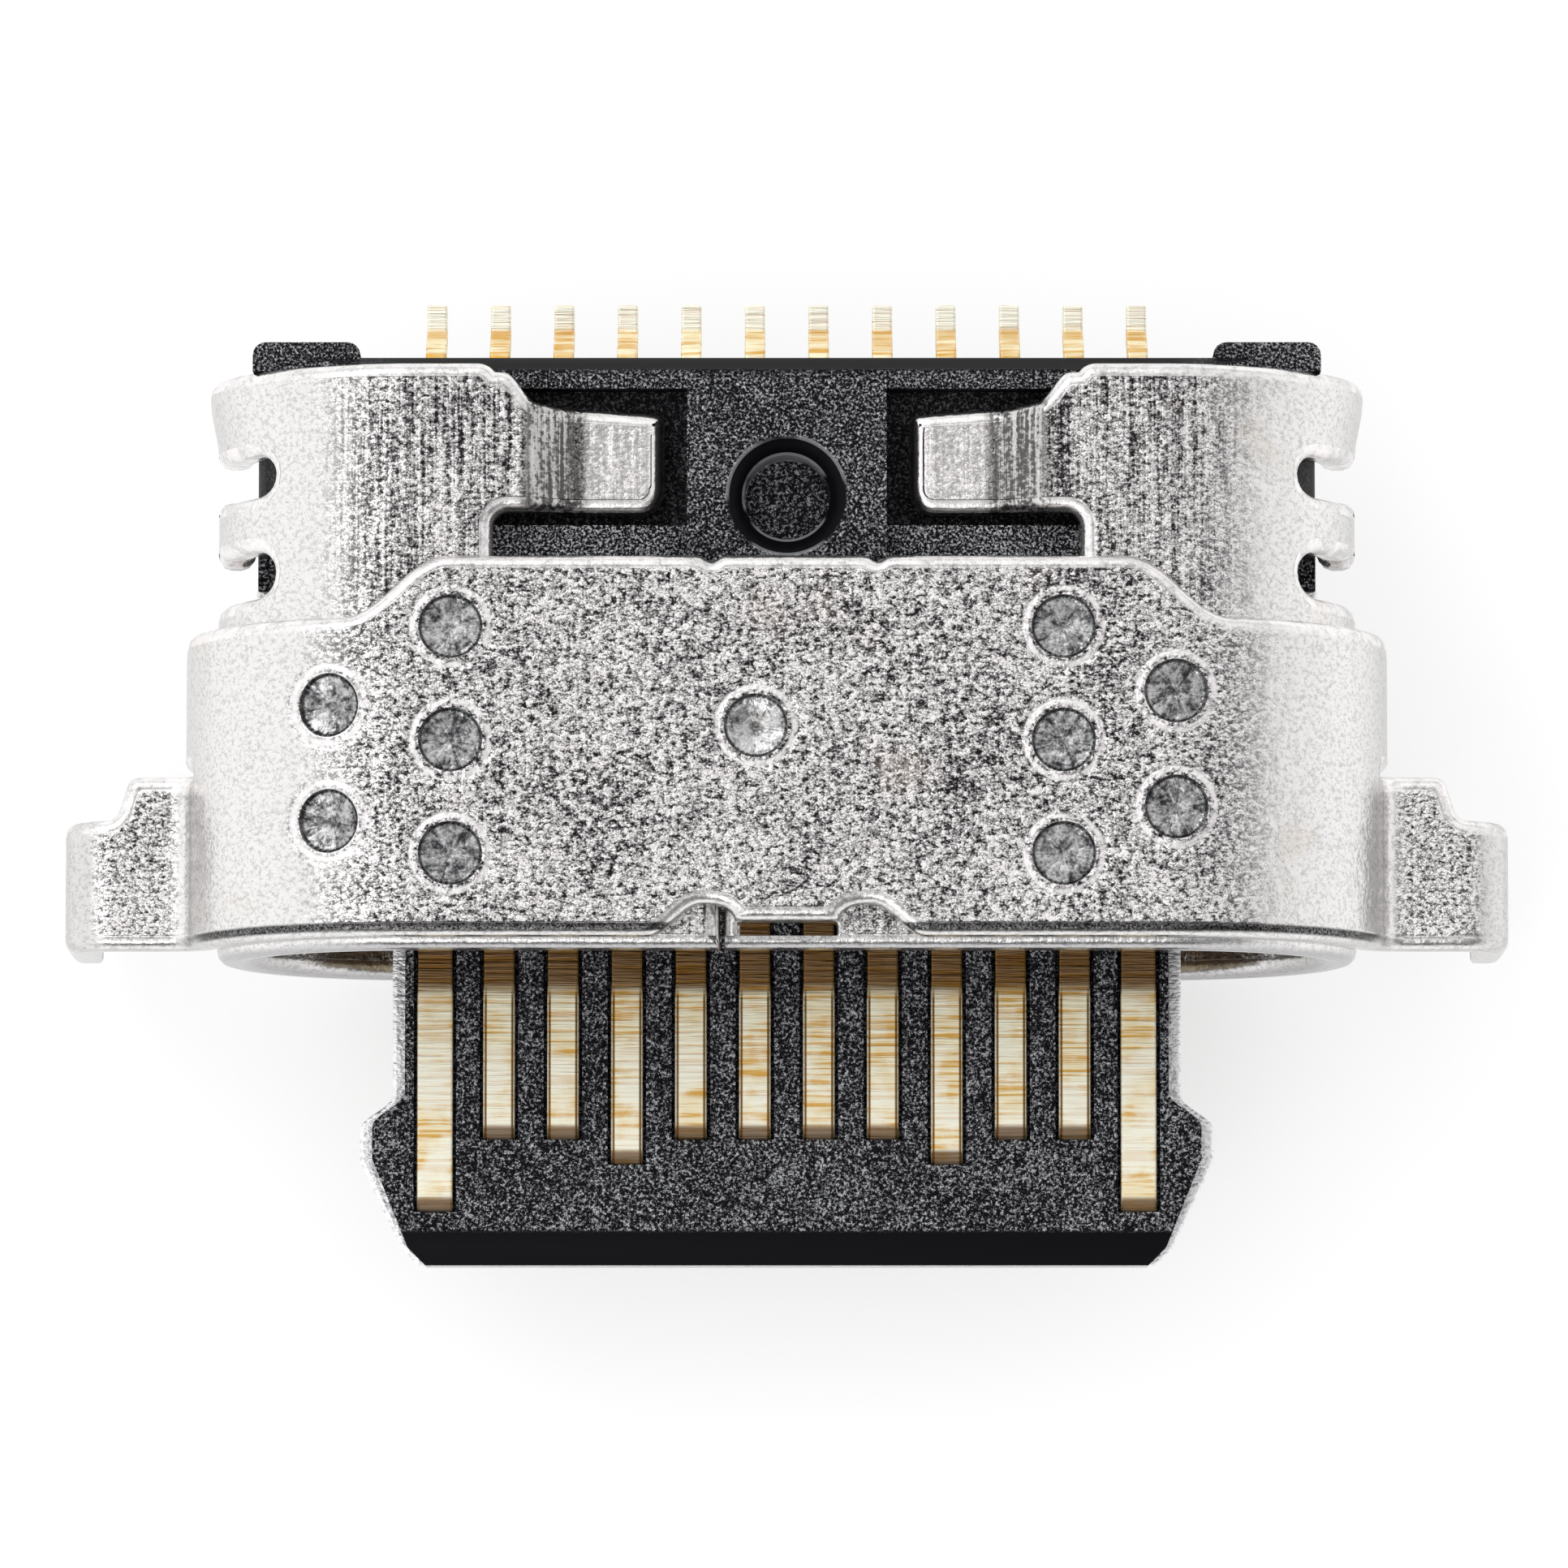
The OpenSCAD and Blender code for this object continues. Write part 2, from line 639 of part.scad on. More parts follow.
// Middle line of a lower contact from its front end back to the end of its tail
function lower_path(i) = round_path([
    [tip_y + blade_start(i), -blade_z],
    [plate_len + bend_gap, -blade_z],
    [base_len - bend_gap, foot_z],
    [lower_tail_len, foot_z]
], bend_r);

// Contact i along a path, wide up to the middle of its wafer and narrow behind
module contact(i, path) {
    w = blade_width(i);
    x = contact_x(i);
    intersection() {
        along_x(x - w / 2, x + w / 2) polygon(strip(path, contact_t));
        union() {
            box([x - w, tip_y, -past], [x + w, wafer_mid_y, past]);
            box([x - tail_w / 2, wafer_mid_y, -past], [x + tail_w / 2, shell_len + past, past]);
        }
    }
}

module upper_contact(i) color([0.83, 0.68, 0.36]) contact(i, upper_path(i));
module lower_contact(i) color([0.83, 0.68, 0.36]) contact(i, lower_path(i));
module all_contacts() for (i = [0:row_count - 1]) {
    upper_contact(i);
    lower_contact(i);
}

// ---- Mouldings ----

module upper_wafer_block() box(
    [-wafer_w / 2, wafer_y, plate_t / 2],
    [wafer_w / 2, wafer_end_y, plate_t / 2 + wafer_h]
);
module lower_wafer_block() box(
    [-wafer_w / 2, wafer_y, -plate_t / 2 - wafer_h],
    [wafer_w / 2, wafer_end_y, -plate_t / 2]
);

module upper_wafer() color([0.16, 0.16, 0.17]) difference() {
    upper_wafer_block();
    for (i = [0:row_count - 1]) upper_contact(i);
}

module lower_wafer() color([0.16, 0.16, 0.17]) difference() {
    lower_wafer_block();
    for (i = [0:row_count - 1]) lower_contact(i);
}

// Tongue's plastic: its plan and its side view with a sloping nose
module tongue_body() {
    plan = tongue_half(rim, stop_y);
    side = [
        [tip_y, nose_h / 2],
        [tip_y + nose_len, top_z],
        [stop_y + past, top_z],
        [stop_y + past, -top_z],
        [tip_y + nose_len, -top_z],
        [tip_y, -nose_h / 2]
    ];
    intersection() {
        along_z(-tongue_t, tongue_t) polygon(concat(plan, other_side(plan)));
        along_x(-tongue_w / 2, tongue_w / 2) polygon(side);
    }
}

// Slot of blade i in the tongue's top face
module blade_slot(i) {
    w = blade_width(i) / 2 + slot_gap;
    x = contact_x(i);
    box([x - w, tip_y + blade_start(i) - slot_gap, top_z - contact_t], [x + w, collar_y, top_z + past]);
}

// Side view of the deck with the slope on its rear edge
module deck_side() polygon([
    [stop_y, deck_z],
    [deck_y, deck_z],
    [deck_y, base_r - deck_slope_h],
    [deck_y - deck_slope_run, base_r],
    [stop_y, base_r]
]);

// Pocket for the right-hand finger
module pocket() {
    w = window_w / 2;
    box([block_w / 2, finger_y - pocket_gap, pocket_z], [w, pocket_len, out_r + past]);
}

// Lug behind the right-hand lobe, with rounded rear corners
module lug() {
    x = lug_spacing / 2;
    y = shell_len + lug_out;
    along_z(deck_z, seat_z + lug_h) polygon(concat(
        [[x - lug_w / 2, shell_len]],
        arc([x - lug_w / 2 + lug_r, y - lug_r], lug_r, 180, 90, 4),
        arc([x + lug_w / 2 - lug_r, y - lug_r], lug_r, 90, 0, 4),
        [[x + lug_w / 2, shell_len]]
    ));
}

// Everything that is moulded in black, with its pockets and slots but without the inserts
module housing_block() difference() {
    union() {
        tongue_body();
        // collar behind the blades
        box([-root_x + rim, collar_y, -collar_t / 2], [root_x - rim, stop_y + past, collar_t / 2]);
        // base block, and the deck behind it
        along_y(stop_y, base_len) stadium(base_r);
        intersection() {
            along_y(stop_y, deck_y) stadium(base_r);
            along_x(-shell_x, shell_x) deck_side();
        }
        box([-block_w / 2, window_y + base_gap, 0], [block_w / 2, block_len, block_z]);
        both_sides() lug();
    }
    both_sides() pocket();
    translate([0, recess_y, block_z - recess_depth]) cylinder(h = recess_depth + past, d = recess_d);
    bevel = (recess_bevel_d - recess_d) / 2;
    translate([0, recess_y, block_z - bevel])
        cylinder(h = bevel * 2, d1 = recess_d, d2 = recess_d + bevel * 4);
    for (i = [0:row_count - 1]) {
        blade_slot(i);
        mirror([0, 0, 1]) blade_slot(i);
    }
    // the sides are cut away above the plate's ears, behind the front notches
    both_sides() box([ear_x - ear_bare, plate_len - ear_w, plate_t / 2],
        [shell_x, floor_len, shell_x]);
}

module housing() color([0.09, 0.09, 0.1]) difference() {
    housing_block();
    mid_plate();
    upper_wafer_block();
    lower_wafer_block();
    all_contacts();
}

inner_shell();
outer_cover();
housing();
upper_wafer();
lower_wafer();
mid_plate();
upper_ground_pad();
lower_ground_pad();
upper_contact(0);  // upper_contact_01
upper_contact(1);  // upper_contact_02
upper_contact(2);  // upper_contact_03
upper_contact(3);  // upper_contact_04
upper_contact(4);  // upper_contact_05
upper_contact(5);  // upper_contact_06
upper_contact(6);  // upper_contact_07
upper_contact(7);  // upper_contact_08
upper_contact(8);  // upper_contact_09
upper_contact(9);  // upper_contact_10
upper_contact(10);  // upper_contact_11
upper_contact(11);  // upper_contact_12
lower_contact(0);  // lower_contact_01
lower_contact(1);  // lower_contact_02
lower_contact(2);  // lower_contact_03
lower_contact(3);  // lower_contact_04
lower_contact(4);  // lower_contact_05
lower_contact(5);  // lower_contact_06
lower_contact(6);  // lower_contact_07
lower_contact(7);  // lower_contact_08
lower_contact(8);  // lower_contact_09
lower_contact(9);  // lower_contact_10
lower_contact(10);  // lower_contact_11
lower_contact(11);  // lower_contact_12
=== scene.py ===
import math

import bmesh
import bpy
import numpy as np
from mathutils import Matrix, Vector
from mathutils.geometry import delaunay_2d_cdt


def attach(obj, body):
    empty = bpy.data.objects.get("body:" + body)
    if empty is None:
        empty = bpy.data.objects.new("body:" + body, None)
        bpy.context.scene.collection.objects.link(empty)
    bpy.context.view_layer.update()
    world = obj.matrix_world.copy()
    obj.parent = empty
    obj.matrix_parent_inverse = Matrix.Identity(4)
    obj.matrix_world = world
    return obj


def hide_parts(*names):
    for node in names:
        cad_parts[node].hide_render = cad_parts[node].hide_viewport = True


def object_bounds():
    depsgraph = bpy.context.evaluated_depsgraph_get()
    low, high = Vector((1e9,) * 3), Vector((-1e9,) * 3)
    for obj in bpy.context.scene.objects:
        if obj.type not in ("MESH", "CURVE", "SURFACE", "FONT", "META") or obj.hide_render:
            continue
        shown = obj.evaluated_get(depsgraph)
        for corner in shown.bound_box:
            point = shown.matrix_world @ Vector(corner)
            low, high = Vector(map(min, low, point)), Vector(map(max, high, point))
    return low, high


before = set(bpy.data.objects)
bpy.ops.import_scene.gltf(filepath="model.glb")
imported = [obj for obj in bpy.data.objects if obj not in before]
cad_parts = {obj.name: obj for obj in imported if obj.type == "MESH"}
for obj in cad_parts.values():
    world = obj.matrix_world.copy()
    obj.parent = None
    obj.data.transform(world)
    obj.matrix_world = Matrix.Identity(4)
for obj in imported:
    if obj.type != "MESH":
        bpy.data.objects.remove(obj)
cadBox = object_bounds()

mm = 0.001
print("frame loaded:", len(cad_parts), "nodes")

view = {
    "elevation": 84.5,  # degrees above the board
    "distance": 103.0,  # millimetres
    "aim": (-0.022, 1.43, 0.0),  # millimetres
    "lens": 300.9, "sensor": 36,
    "near": 0.01, "far": 5,  # metres
}


def addObject(name, data):
    made = bpy.data.objects.new(name, data)
    bpy.context.scene.collection.objects.link(made)
    return made


def aimCamera():
    tilt = math.radians(view["elevation"])
    back = Vector((0, -math.cos(tilt), math.sin(tilt)))
    eye = bpy.data.cameras.new("eye")
    eye.lens, eye.sensor_width = view["lens"], view["sensor"]
    eye.clip_start, eye.clip_end = view["near"], view["far"]
    holder = addObject("eye", eye)
    holder.location = (Vector(view["aim"]) + back * view["distance"]) * mm
    holder.rotation_mode = "QUATERNION"
    holder.rotation_quaternion = (-back).to_track_quat("-Z", "Y")
    bpy.context.scene.camera = holder


aimCamera()


class Wire:
    # a socket of the open node tree, on which sums can be written
    tree = None

    def __init__(self, socket):
        self.socket = socket

    @classmethod
    def node(cls, kind, settings=None, links=None, out=0):
        made = cls.tree.nodes.new(kind)
        for key, value in (settings or {}).items():
            setattr(made, key, value)
        for key, value in (links or {}).items():
            if isinstance(value, Wire):
                cls.tree.links.new(value.socket, made.inputs[key])
            else:
                made.inputs[key].default_value = value
        return cls(made.outputs[out]) if len(made.outputs) else made

    @classmethod
    def maths(cls, operation, *values):
        return cls.node("ShaderNodeMath", {"operation": operation}, dict(enumerate(values)))

    def __add__(self, other):
        return Wire.maths("ADD", self, other)

    __radd__ = __add__

    def __sub__(self, other):
        return Wire.maths("SUBTRACT", self, other)

    def __rsub__(self, other):
        return Wire.maths("SUBTRACT", other, self)

    def __mul__(self, other):
        return Wire.maths("MULTIPLY", self, other)

    __rmul__ = __mul__

    def __gt__(self, other):
        return Wire.maths("GREATER_THAN", self, other)

    def __lt__(self, other):
        return Wire.maths("LESS_THAN", self, other)

    def clip(self, low, high):
        # 0 at low, 1 at high, smooth between
        return Wire.node("ShaderNodeMapRange", {"interpolation_type": "SMOOTHSTEP"},
                         {"Value": self, "From Min": low, "From Max": high})

    def size(self):
        return Wire.maths("ABSOLUTE", self)

    def near(self, middle, full, none):
        # 1 where this is less than full away from middle, 0 where it is more than none away
        return 1 - (self - middle).size().clip(full, none)


def openTree(holder):
    # empties the node tree of a material or world, and the next nodes go into it
    holder.use_nodes = True
    holder.node_tree.nodes.clear()
    Wire.tree = holder.node_tree
    return holder


def vectorMaths(operation, *values, out=0):
    return Wire.node("ShaderNodeVectorMath", {"operation": operation}, dict(enumerate(values)), out)


def places(scale=(1, 1, 1)):
    # where a point is on the part, in millimetres, stretched by scale
    return vectorMaths("MULTIPLY", Wire.node("ShaderNodeTexCoord", out=3), tuple(k / mm for k in scale))


def axisOf(vector, axis):
    return Wire.node("ShaderNodeSeparateXYZ", None, {0: vector}, out="XYZ".index(axis))


def facing(axis):
    return axisOf(Wire.node("ShaderNodeNewGeometry", out=1), axis)


def grain(vector, scale, detail=2.0, rough=0.5):
    return Wire.node("ShaderNodeTexNoise", None,
                     {"Vector": vector, "Scale": scale, "Detail": detail, "Roughness": rough})


def blend(mask, low, high):
    # colour low where the mask is 0, high where it is 1
    return Wire.node("ShaderNodeMix", {"data_type": "RGBA"}, {0: mask, 6: low, 7: high}, out=2)


def bump(height, distance, strength=1.0):
    return Wire.node("ShaderNodeBump", None, {"Strength": strength, "Distance": distance * mm, "Height": height})


def finish(name, paint):
    look = openTree(bpy.data.materials.new(name))
    made = Wire.node("ShaderNodeBsdfPrincipled", None, paint())
    Wire.node("ShaderNodeOutputMaterial", None, {"Surface": made})
    return look


# what pressSheet writes on its points: the step to the nearest weld and the distance, or one of these
sheetMark = {"name": "sheetMark", "rim": 5.0, "inner": 9.0}

nickel = {
    "pale": (1.0, 0.965, 0.955, 1),
    "light": (0.84, 0.832, 0.820, 1),
    "dull": (0.60, 0.590, 0.575, 1),
    # painted shade for steep sides and legs
    "shade": (0.36, 0.352, 0.346, 1),  # steep sides and legs
    "deep": (0.016, 0.015, 0.016, 1),
    "warm": (0.62, 0.50, 0.38, 1),
    "pitPale": (0.58, 0.578, 0.575, 1),
    "pitDeep": (0.040, 0.041, 0.045, 1),
    "wallDeep": (0.02, 0.02, 0.022, 1),
    "slopeShade": (0.05, 0.047, 0.043, 1),
    "faceShade": (0.34, 0.33, 0.35, 1),
    "grain": 27.0,  # pebbles of plate per millimetre
    "relief": 0.0100,  # millimetres
    "flats": (0.86, 0.993),  # how far up a surface looks where its grain starts, and where it is full
    "tone": (0.400, 0.558),
    # millimetres from the middle of a weld
    "pit": 0.249, "wall": (0.215, 0.232), "halo": (0.300, 0.008, 0.032),
    # millimetres to the side
    "wings": (4.55, 4.85), "hollow": (4.79, 0.03, 0.11), "legBend": (5.36, 5.50), "middlePitSide": (0.5, 1.0),
    "slopeIn": (1.50, 1.60), "slopeOut": (1.98, 2.10), "fingerEnd": (1.50, 1.62), "fingerTip": (1.12, 1.04),
    # millimetres behind the mouth
    "mouthPale": (0.3, 1.1), "rimHighlightFrom": 0.5, "wingRear": 1.5, "fingers": 3.36,
    "mouthFace": 0.14, "frontShadeBand": (0.155, 0.02, 0.045),
}


def paintNickel(brushed, piece):
    # brushed is how much the drawn lines show, piece is "shell" or "cover"
    def paint():
        n = nickel
        spot, uneven = places(), places((0.8, 1.1, 1))
        x, y, up = axisOf(spot, "X"), axisOf(spot, "Y"), facing("Z")
        aside = x.size()
        flat = up.clip(*n["flats"])
        pebbles = grain(uneven, n["grain"], 3.0, 0.66)
        fine = grain(spot, n["grain"] * 2.3, 2.0, 0.6)
        ripple = grain(spot, 7.0, 3.0, 0.6)
        lines = grain(places((1, 0.035, 1)), 27.0, 2.0, 0.65)
        cloud = grain(spot, 1.1, 2.0)
        chatter = grain(spot, 11.0, 2.0, 0.6)
        step = Wire.node("ShaderNodeAttribute", {"attribute_name": sheetMark["name"]}, out=1)
        reach = axisOf(step, "Z")
        rays = grain(vectorMaths("NORMALIZE", vectorMaths("MULTIPLY", step, (1, 1, 0))), 4.0, 4.0, 0.75)
        rim = reach.clip(sheetMark["rim"] - 1, sheetMark["rim"] - 0.1) * (reach < sheetMark["rim"] + 1)
        inner = reach > sheetMark["inner"] - 1
        pit = reach < n["pit"]
        wall = pit * reach.clip(*n["wall"])
        halo = reach.near(*n["halo"]) * chatter.clip(0.34, 0.56)
        rough = flat * (1 - (pit + halo * 0.8 + rim * 0.75 + inner))

        # pebbled flats, paler on the wings and near the mouth, with dark veins between the pebbles
        wings = aside.clip(*n["wings"]) * (y < n["wingRear"])
        mouth = 1 - y.clip(*n["mouthPale"])
        tone = pebbles * (0.74 - 0.30 * brushed) + fine * 0.26 + lines * 0.30 * brushed
        tone = (tone + (cloud - 0.5) * 0.10 + wings * 0.02 + mouth * 0.016 - 0.016 * brushed).clip(*n["tone"])
        veins = grain(uneven, n["grain"] * 0.72, 2.0, 0.6).near(0.5, 0.0, 0.045)
        colour = blend(tone, n["deep"], n["pale"])
        colour = blend(veins * 0.84, colour, n["deep"])

        # sides, edges and inner face have smoother relief, and their colour is painted paler with faint grain, for
        # the even light that curved faces catch
        side = blend((pebbles * 0.7 + fine * 0.3).clip(0.38, 0.54), n["dull"], n["light"])
        # painted shade: steep sides and the bends of the legs are painted darker
        steep = (1 - up.clip(0.15, 0.62)) * 0.45 + aside.clip(*n["legBend"]) * (up > 0.3) * 0.25
        side = blend(steep, side, n["shade"])
        # painted light: off the flats the paler side colour replaces the pebbled one
        colour = blend(1 - rough, colour, side)
        # painted highlight in the hollow where the side bends out into the wing
        hollow = aside.near(*n["hollow"]) * (y < n["wingRear"])
        # painted highlight along the rounded rims behind the mouth, broken up by the ripple
        rimHighlight = rim * (0.15 + ripple.clip(0.40, 0.60) * 0.45) * (y > n["rimHighlightFrom"])
        # the two painted highlights above, and painted light on the inner face seen inside the mouth
        colour = blend((hollow * 0.3 + rimHighlight + inner * 0.45).clip(0, 1), colour, n["pale"])

        # weld pits, painted darker with pale flecks as the shade and glints of a hollow, with a darker ring at the
        # wall; the one in the middle is painted a little paler
        middlePit = 1 - aside.clip(*n["middlePitSide"])
        pitShading = rays * 0.3 + chatter * 0.35 + grain(spot, 30.0, 3.0, 0.7) * 0.35 + middlePit * 0.05
        colour = blend(pit, colour, blend(pitShading.clip(0.40, 0.60), n["pitDeep"], n["pitPale"]))
        colour = blend(wall * 0.8, colour, n["wallDeep"])
        colour = blend(halo * 0.7, colour, n["pale"])
        colour = blend(grain(spot, 0.9, 3.0).clip(0.60, 0.78) * 0.30, colour, n["warm"])

        if piece == "shell":
            # painted shade on the pressed slopes of the two fingers and on the face of the mouth, and a painted
            # highlight on the finger ends
            slope = aside.clip(*n["slopeIn"]) * (1 - aside.clip(*n["slopeOut"])) * (y > n["fingers"])
            slopeStreaks = (lines * 0.5 + pebbles * 0.5).clip(0.44, 0.56)
            colour = blend(slope * (0.20 + slopeStreaks * 0.72), colour, n["slopeShade"])
            face = (-1 * facing("Y")).clip(0.3, 0.9) * (y < n["mouthFace"])
            colour = blend(face * 0.55, colour, n["faceShade"])
            # painted highlight on the finger ends, paler towards the tips
            end = (1 - aside.clip(*n["fingerEnd"])) * (y > n["fingers"])
            colour = blend(end * (0.45 + aside.clip(*n["fingerTip"]) * 0.4), colour, n["pale"])
        else:
            # painted shade: a dark band where the cover's front edge rounds down, kept off the wings
            nose = y.near(*n["frontShadeBand"]) * up.clip(0.1, 0.4) * (0.75 + fine.clip(0.4, 0.6) * 0.25)
            colour = blend(nose * (1 - wings), colour, n["deep"])

        height = (pebbles + fine * 0.25) * (rough * 0.75 + 0.25) + ripple * 1.6 + lines * 0.5 * brushed * flat
        height = height * (1 - rim * 0.5 - pit * 0.7) + pit * (rays * 0.6 + chatter * 1.6)
        return {
            "Base Color": colour, "Metallic": 1.0,
            "Roughness": 0.17 + fine * 0.14 + halo * 0.20 - pit * 0.09, "Normal": bump(height, n["relief"]),
        }
    return paint


black = {
    "ground": (0.0026, 0.0026, 0.0038, 1),
    "pale": (0.60, 0.605, 0.63, 1),
    "grain": 44.0,  # flecks per millimetre
    "relief": 0.006,  # millimetres
    "noseLine": -2.11,  # the nose of the tongue is smooth in front of it
    "noseFront": -2.3,
    "deck": (4.50, 4.58), "deckHalf": (3.0, 3.2),  # the smooth middle of the rear deck
    "recess": (0.0, 3.53), "bevel": (0.33, 0.46), "block": 2.9,  # round recess, radii of its bevel
    # painted light for the strip in front of the fingers
    "ledge": (3.16, 0.16, 0.20), "ledgeSide": (0.7, 0.9),  # the strip in front of the fingers
    # the pockets are painted darker, as shade
    "pockets": (3.3, 4.42), "pocketHalf": 2.5, "pocketTop": 1.2,
}


def paintBlack(share):
    # share is how pale the flecks are
    def paint():
        b = black
        spot = places()
        x, y, z = (axisOf(spot, k) for k in "XYZ")
        aside, up = x.size(), facing("Z")
        coarse = grain(spot, b["grain"], 3.0, 0.7)
        fine = grain(spot, b["grain"] * 1.9, 2.0, 0.6)
        cloud = grain(spot, 2.0, 3.0)
        flecks = (coarse * 0.7 + fine * 0.3 + (cloud - 0.5) * 0.06).clip(0.485, 0.665)
        flatSpot = Wire.node("ShaderNodeCombineXYZ", None, {"X": x, "Y": y})
        away = vectorMaths("DISTANCE", flatSpot, (*b["recess"], 0), out=1)
        low, high = b["bevel"]
        block = y > b["block"]
        ring = away.clip(low - 0.005, low + 0.01) * (1 - away.clip(high - 0.005, high + 0.015)) * block
        top = up.clip(0.6, 0.9)
        deck = y.clip(*b["deck"]) * (1 - aside.clip(*b["deckHalf"]))
        plain = y.clip(b["noseLine"] - 0.015, b["noseLine"] + 0.015) * (1 - deck) * (1 - ring)
        # painted light: paler flecks on the strip in front of the fingers
        ledge = y.near(*b["ledge"]) * aside.clip(*b["ledgeSide"])
        front, rear = b["pockets"]
        # painted shade: fewer pale flecks low in the pockets
        pocket = (y > front) * (y < rear) * (aside < b["pocketHalf"]) * (z < b["pocketTop"]) * (away > high + 0.02)
        show = flecks * plain * (top * 0.8 + 0.2) * (share + ledge * 0.9) * (1 - pocket * 0.75)
        colour = blend(show, b["ground"], b["pale"])
        # painted highlights: thin pale arcs at the edges of the recess bevel, and faint pale streaks on the deck
        deckSheen = grain(places((0.15, 1, 1)), 12.0, 2.0).clip(0.55, 0.7) * (1 - ring)
        arcHighlights = ((away - (low + 0.005)).size() < 0.014) + ((away - (high + 0.002)).size() < 0.014)
        arcHighlights = arcHighlights * cloud.clip(0.44, 0.54) * block
        colour = blend(deckSheen * top * deck * 0.05 + arcHighlights * 0.3, colour, b["pale"])
        # painted highlight on the front face of the tongue's nose
        nose = (-1 * facing("Y")).clip(0.85, 0.95) * (y < b["noseFront"])
        colour = blend(nose * coarse.clip(0.35, 0.55) * 0.5, colour, b["pale"])
        return {
            "Base Color": colour, "Metallic": 0.0, "Specular IOR Level": 0.07,
            "Roughness": 0.46 - ring * 0.24 + fine * 0.16,
            "Normal": bump((coarse * 0.8 + fine * 0.5) * (plain * 0.85 + 0.15), b["relief"]),
        }
    return paint


gold = {
    "pale": (1.0, 0.95, 0.70, 1),
    "deep": (0.76, 0.43, 0.08, 1),
    "brown": (0.16, 0.070, 0.015, 1),
    "silver": (1.0, 0.985, 0.88, 1),
    "relief": 0.016,  # millimetres
    # painted shade: behind the root line the blades are painted brown, inside the mouth
    "rootLine": (-0.31, -0.15),  # the blades are darker behind it, where they go into the moulding
    "highlightFrom": (-0.9, -0.5),
    "rootEnd": (4.0, 4.4), "bandStart": (4.4, 4.6), "tail": (4.97, 5.03),
    # painted shade along the blade edges
    "edgeShade": (0.104, 0.004, 0.013), "edgeShadeHalf": 2.6,  # dark lines along both edges of a blade
}


def paintGold():
    g = gold
    spot = places()
    x, y = axisOf(spot, "X"), axisOf(spot, "Y")
    lines = grain(places((0.03, 1, 0.3)), 30.0, 3.0, 0.7)
    cloud = grain(spot, 4.0, 3.0)
    front = 1 - y.clip(*g["rootLine"])  # 1 along the open blade
    colour = blend(lines.clip(0.40, 0.53) * 0.8 + cloud.clip(0.4, 0.6) * 0.2, g["deep"], g["pale"])
    # painted highlight: the open blade is painted paler towards silver, more so further out
    bladeHighlight = front * (1 - y.clip(*g["highlightFrom"]) * 0.5) * cloud.clip(0.38, 0.66)
    colour = blend(bladeHighlight * 0.65, colour, g["silver"])
    # painted shade: brown on the blades from the root line back into the mouth
    colour = blend((1 - front) * (1 - y.clip(*g["rootEnd"])) * 0.92, colour, g["brown"])
    # painted shade: dark lines along both edges of each open blade
    away = (Wire.maths("FRACT", x * 2) - 0.5).size() * 0.5  # from the blade's middle
    edgeShade = away.near(*g["edgeShade"]) * (x.size() < g["edgeShadeHalf"])
    colour = blend(edgeShade * front * 0.95, colour, g["brown"])
    # painted shade on the front-facing tips of the blades
    tip = (-1 * facing("Y")).clip(0.15, 0.40)
    colour = blend(tip * front * 0.85, colour, g["brown"])
    tail = y.clip(*g["tail"])
    bands = grain(places((0.05, 1, 0.3)), 9.0, 2.0).clip(0.42, 0.60)
    colour = blend(y.clip(*g["bandStart"]) * (1 - tail) * bands * 0.55, colour, g["deep"])
    colour = blend(tail * 0.75, colour, g["silver"])
    return {
        "Base Color": colour, "Metallic": 1 - front * 0.60 * (1 - edgeShade),
        "Roughness": 0.34 + front * 0.14 + lines * 0.16, "Normal": bump(lines + cloud * 0.3, g["relief"]),
    }


stamped = {
    "plateDull": (0.74, 0.75, 0.76, 1), "platePale": (1.0, 1.0, 1.0, 1), "plateRelief": 0.018,
    "padDull": (0.46, 0.45, 0.44, 1), "padPale": (0.74, 0.73, 0.72, 1), "padRelief": 0.008,
}


def paintPlate():
    lines = grain(places((0.5, 1, 0.5)), 24.0, 2.0, 0.6)
    fine = grain(places(), 30.0, 2.0)
    return {
        "Base Color": blend(lines.clip(0.36, 0.50), stamped["plateDull"], stamped["platePale"]),
        "Metallic": 0.9 - lines.clip(0.40, 0.60) * 0.3, "Roughness": 0.30 + fine * 0.2,
        "Normal": bump(lines * 0.9 + fine * 0.3, stamped["plateRelief"]),
    }


def paintPad():
    lines = grain(places((1, 0.1, 0.1)), 14.0, 2.0, 0.6)
    fine = grain(places(), 26.0, 2.0)
    return {
        "Base Color": blend(lines.clip(0.3, 0.7), stamped["padDull"], stamped["padPale"]),
        "Metallic": 1.0, "Roughness": 0.3 + fine * 0.2,
        "Normal": bump(lines + fine * 0.4, stamped["padRelief"], 0.8),
    }


looks = {
    "shell": finish("nickelShell", paintNickel(1.0, "shell")),
    "cover": finish("nickelCover", paintNickel(0.35, "cover")),
    "black": finish("blackMoulding", paintBlack(1.0)),
    "wafer": finish("waferMoulding", paintBlack(0.5)),
    "gold": finish("goldContact", paintGold),
    "plate": finish("stampedPlate", paintPlate),
    "pad": finish("stampedPad", paintPad),
}
print("finishes mixed")


# outlines are lists of points in millimetres
def arcPoints(centre, radius, start, end, count=8):
    turns = [math.radians(start + (end - start) * i / count) for i in range(count + 1)]
    return [(centre[0] + radius * math.cos(t), centre[1] + radius * math.sin(t)) for t in turns]


def smoothStep(a, b, count=10, along=0):
    # S-curve that leaves a and reaches b along X (0) or Y (1)
    points = []
    for i in range(count + 1):
        t = i / count
        soft = (1 - math.cos(math.pi * t)) / 2
        points.append(tuple(a[k] + (b[k] - a[k]) * (t if k == along else soft) for k in (0, 1)))
    return points


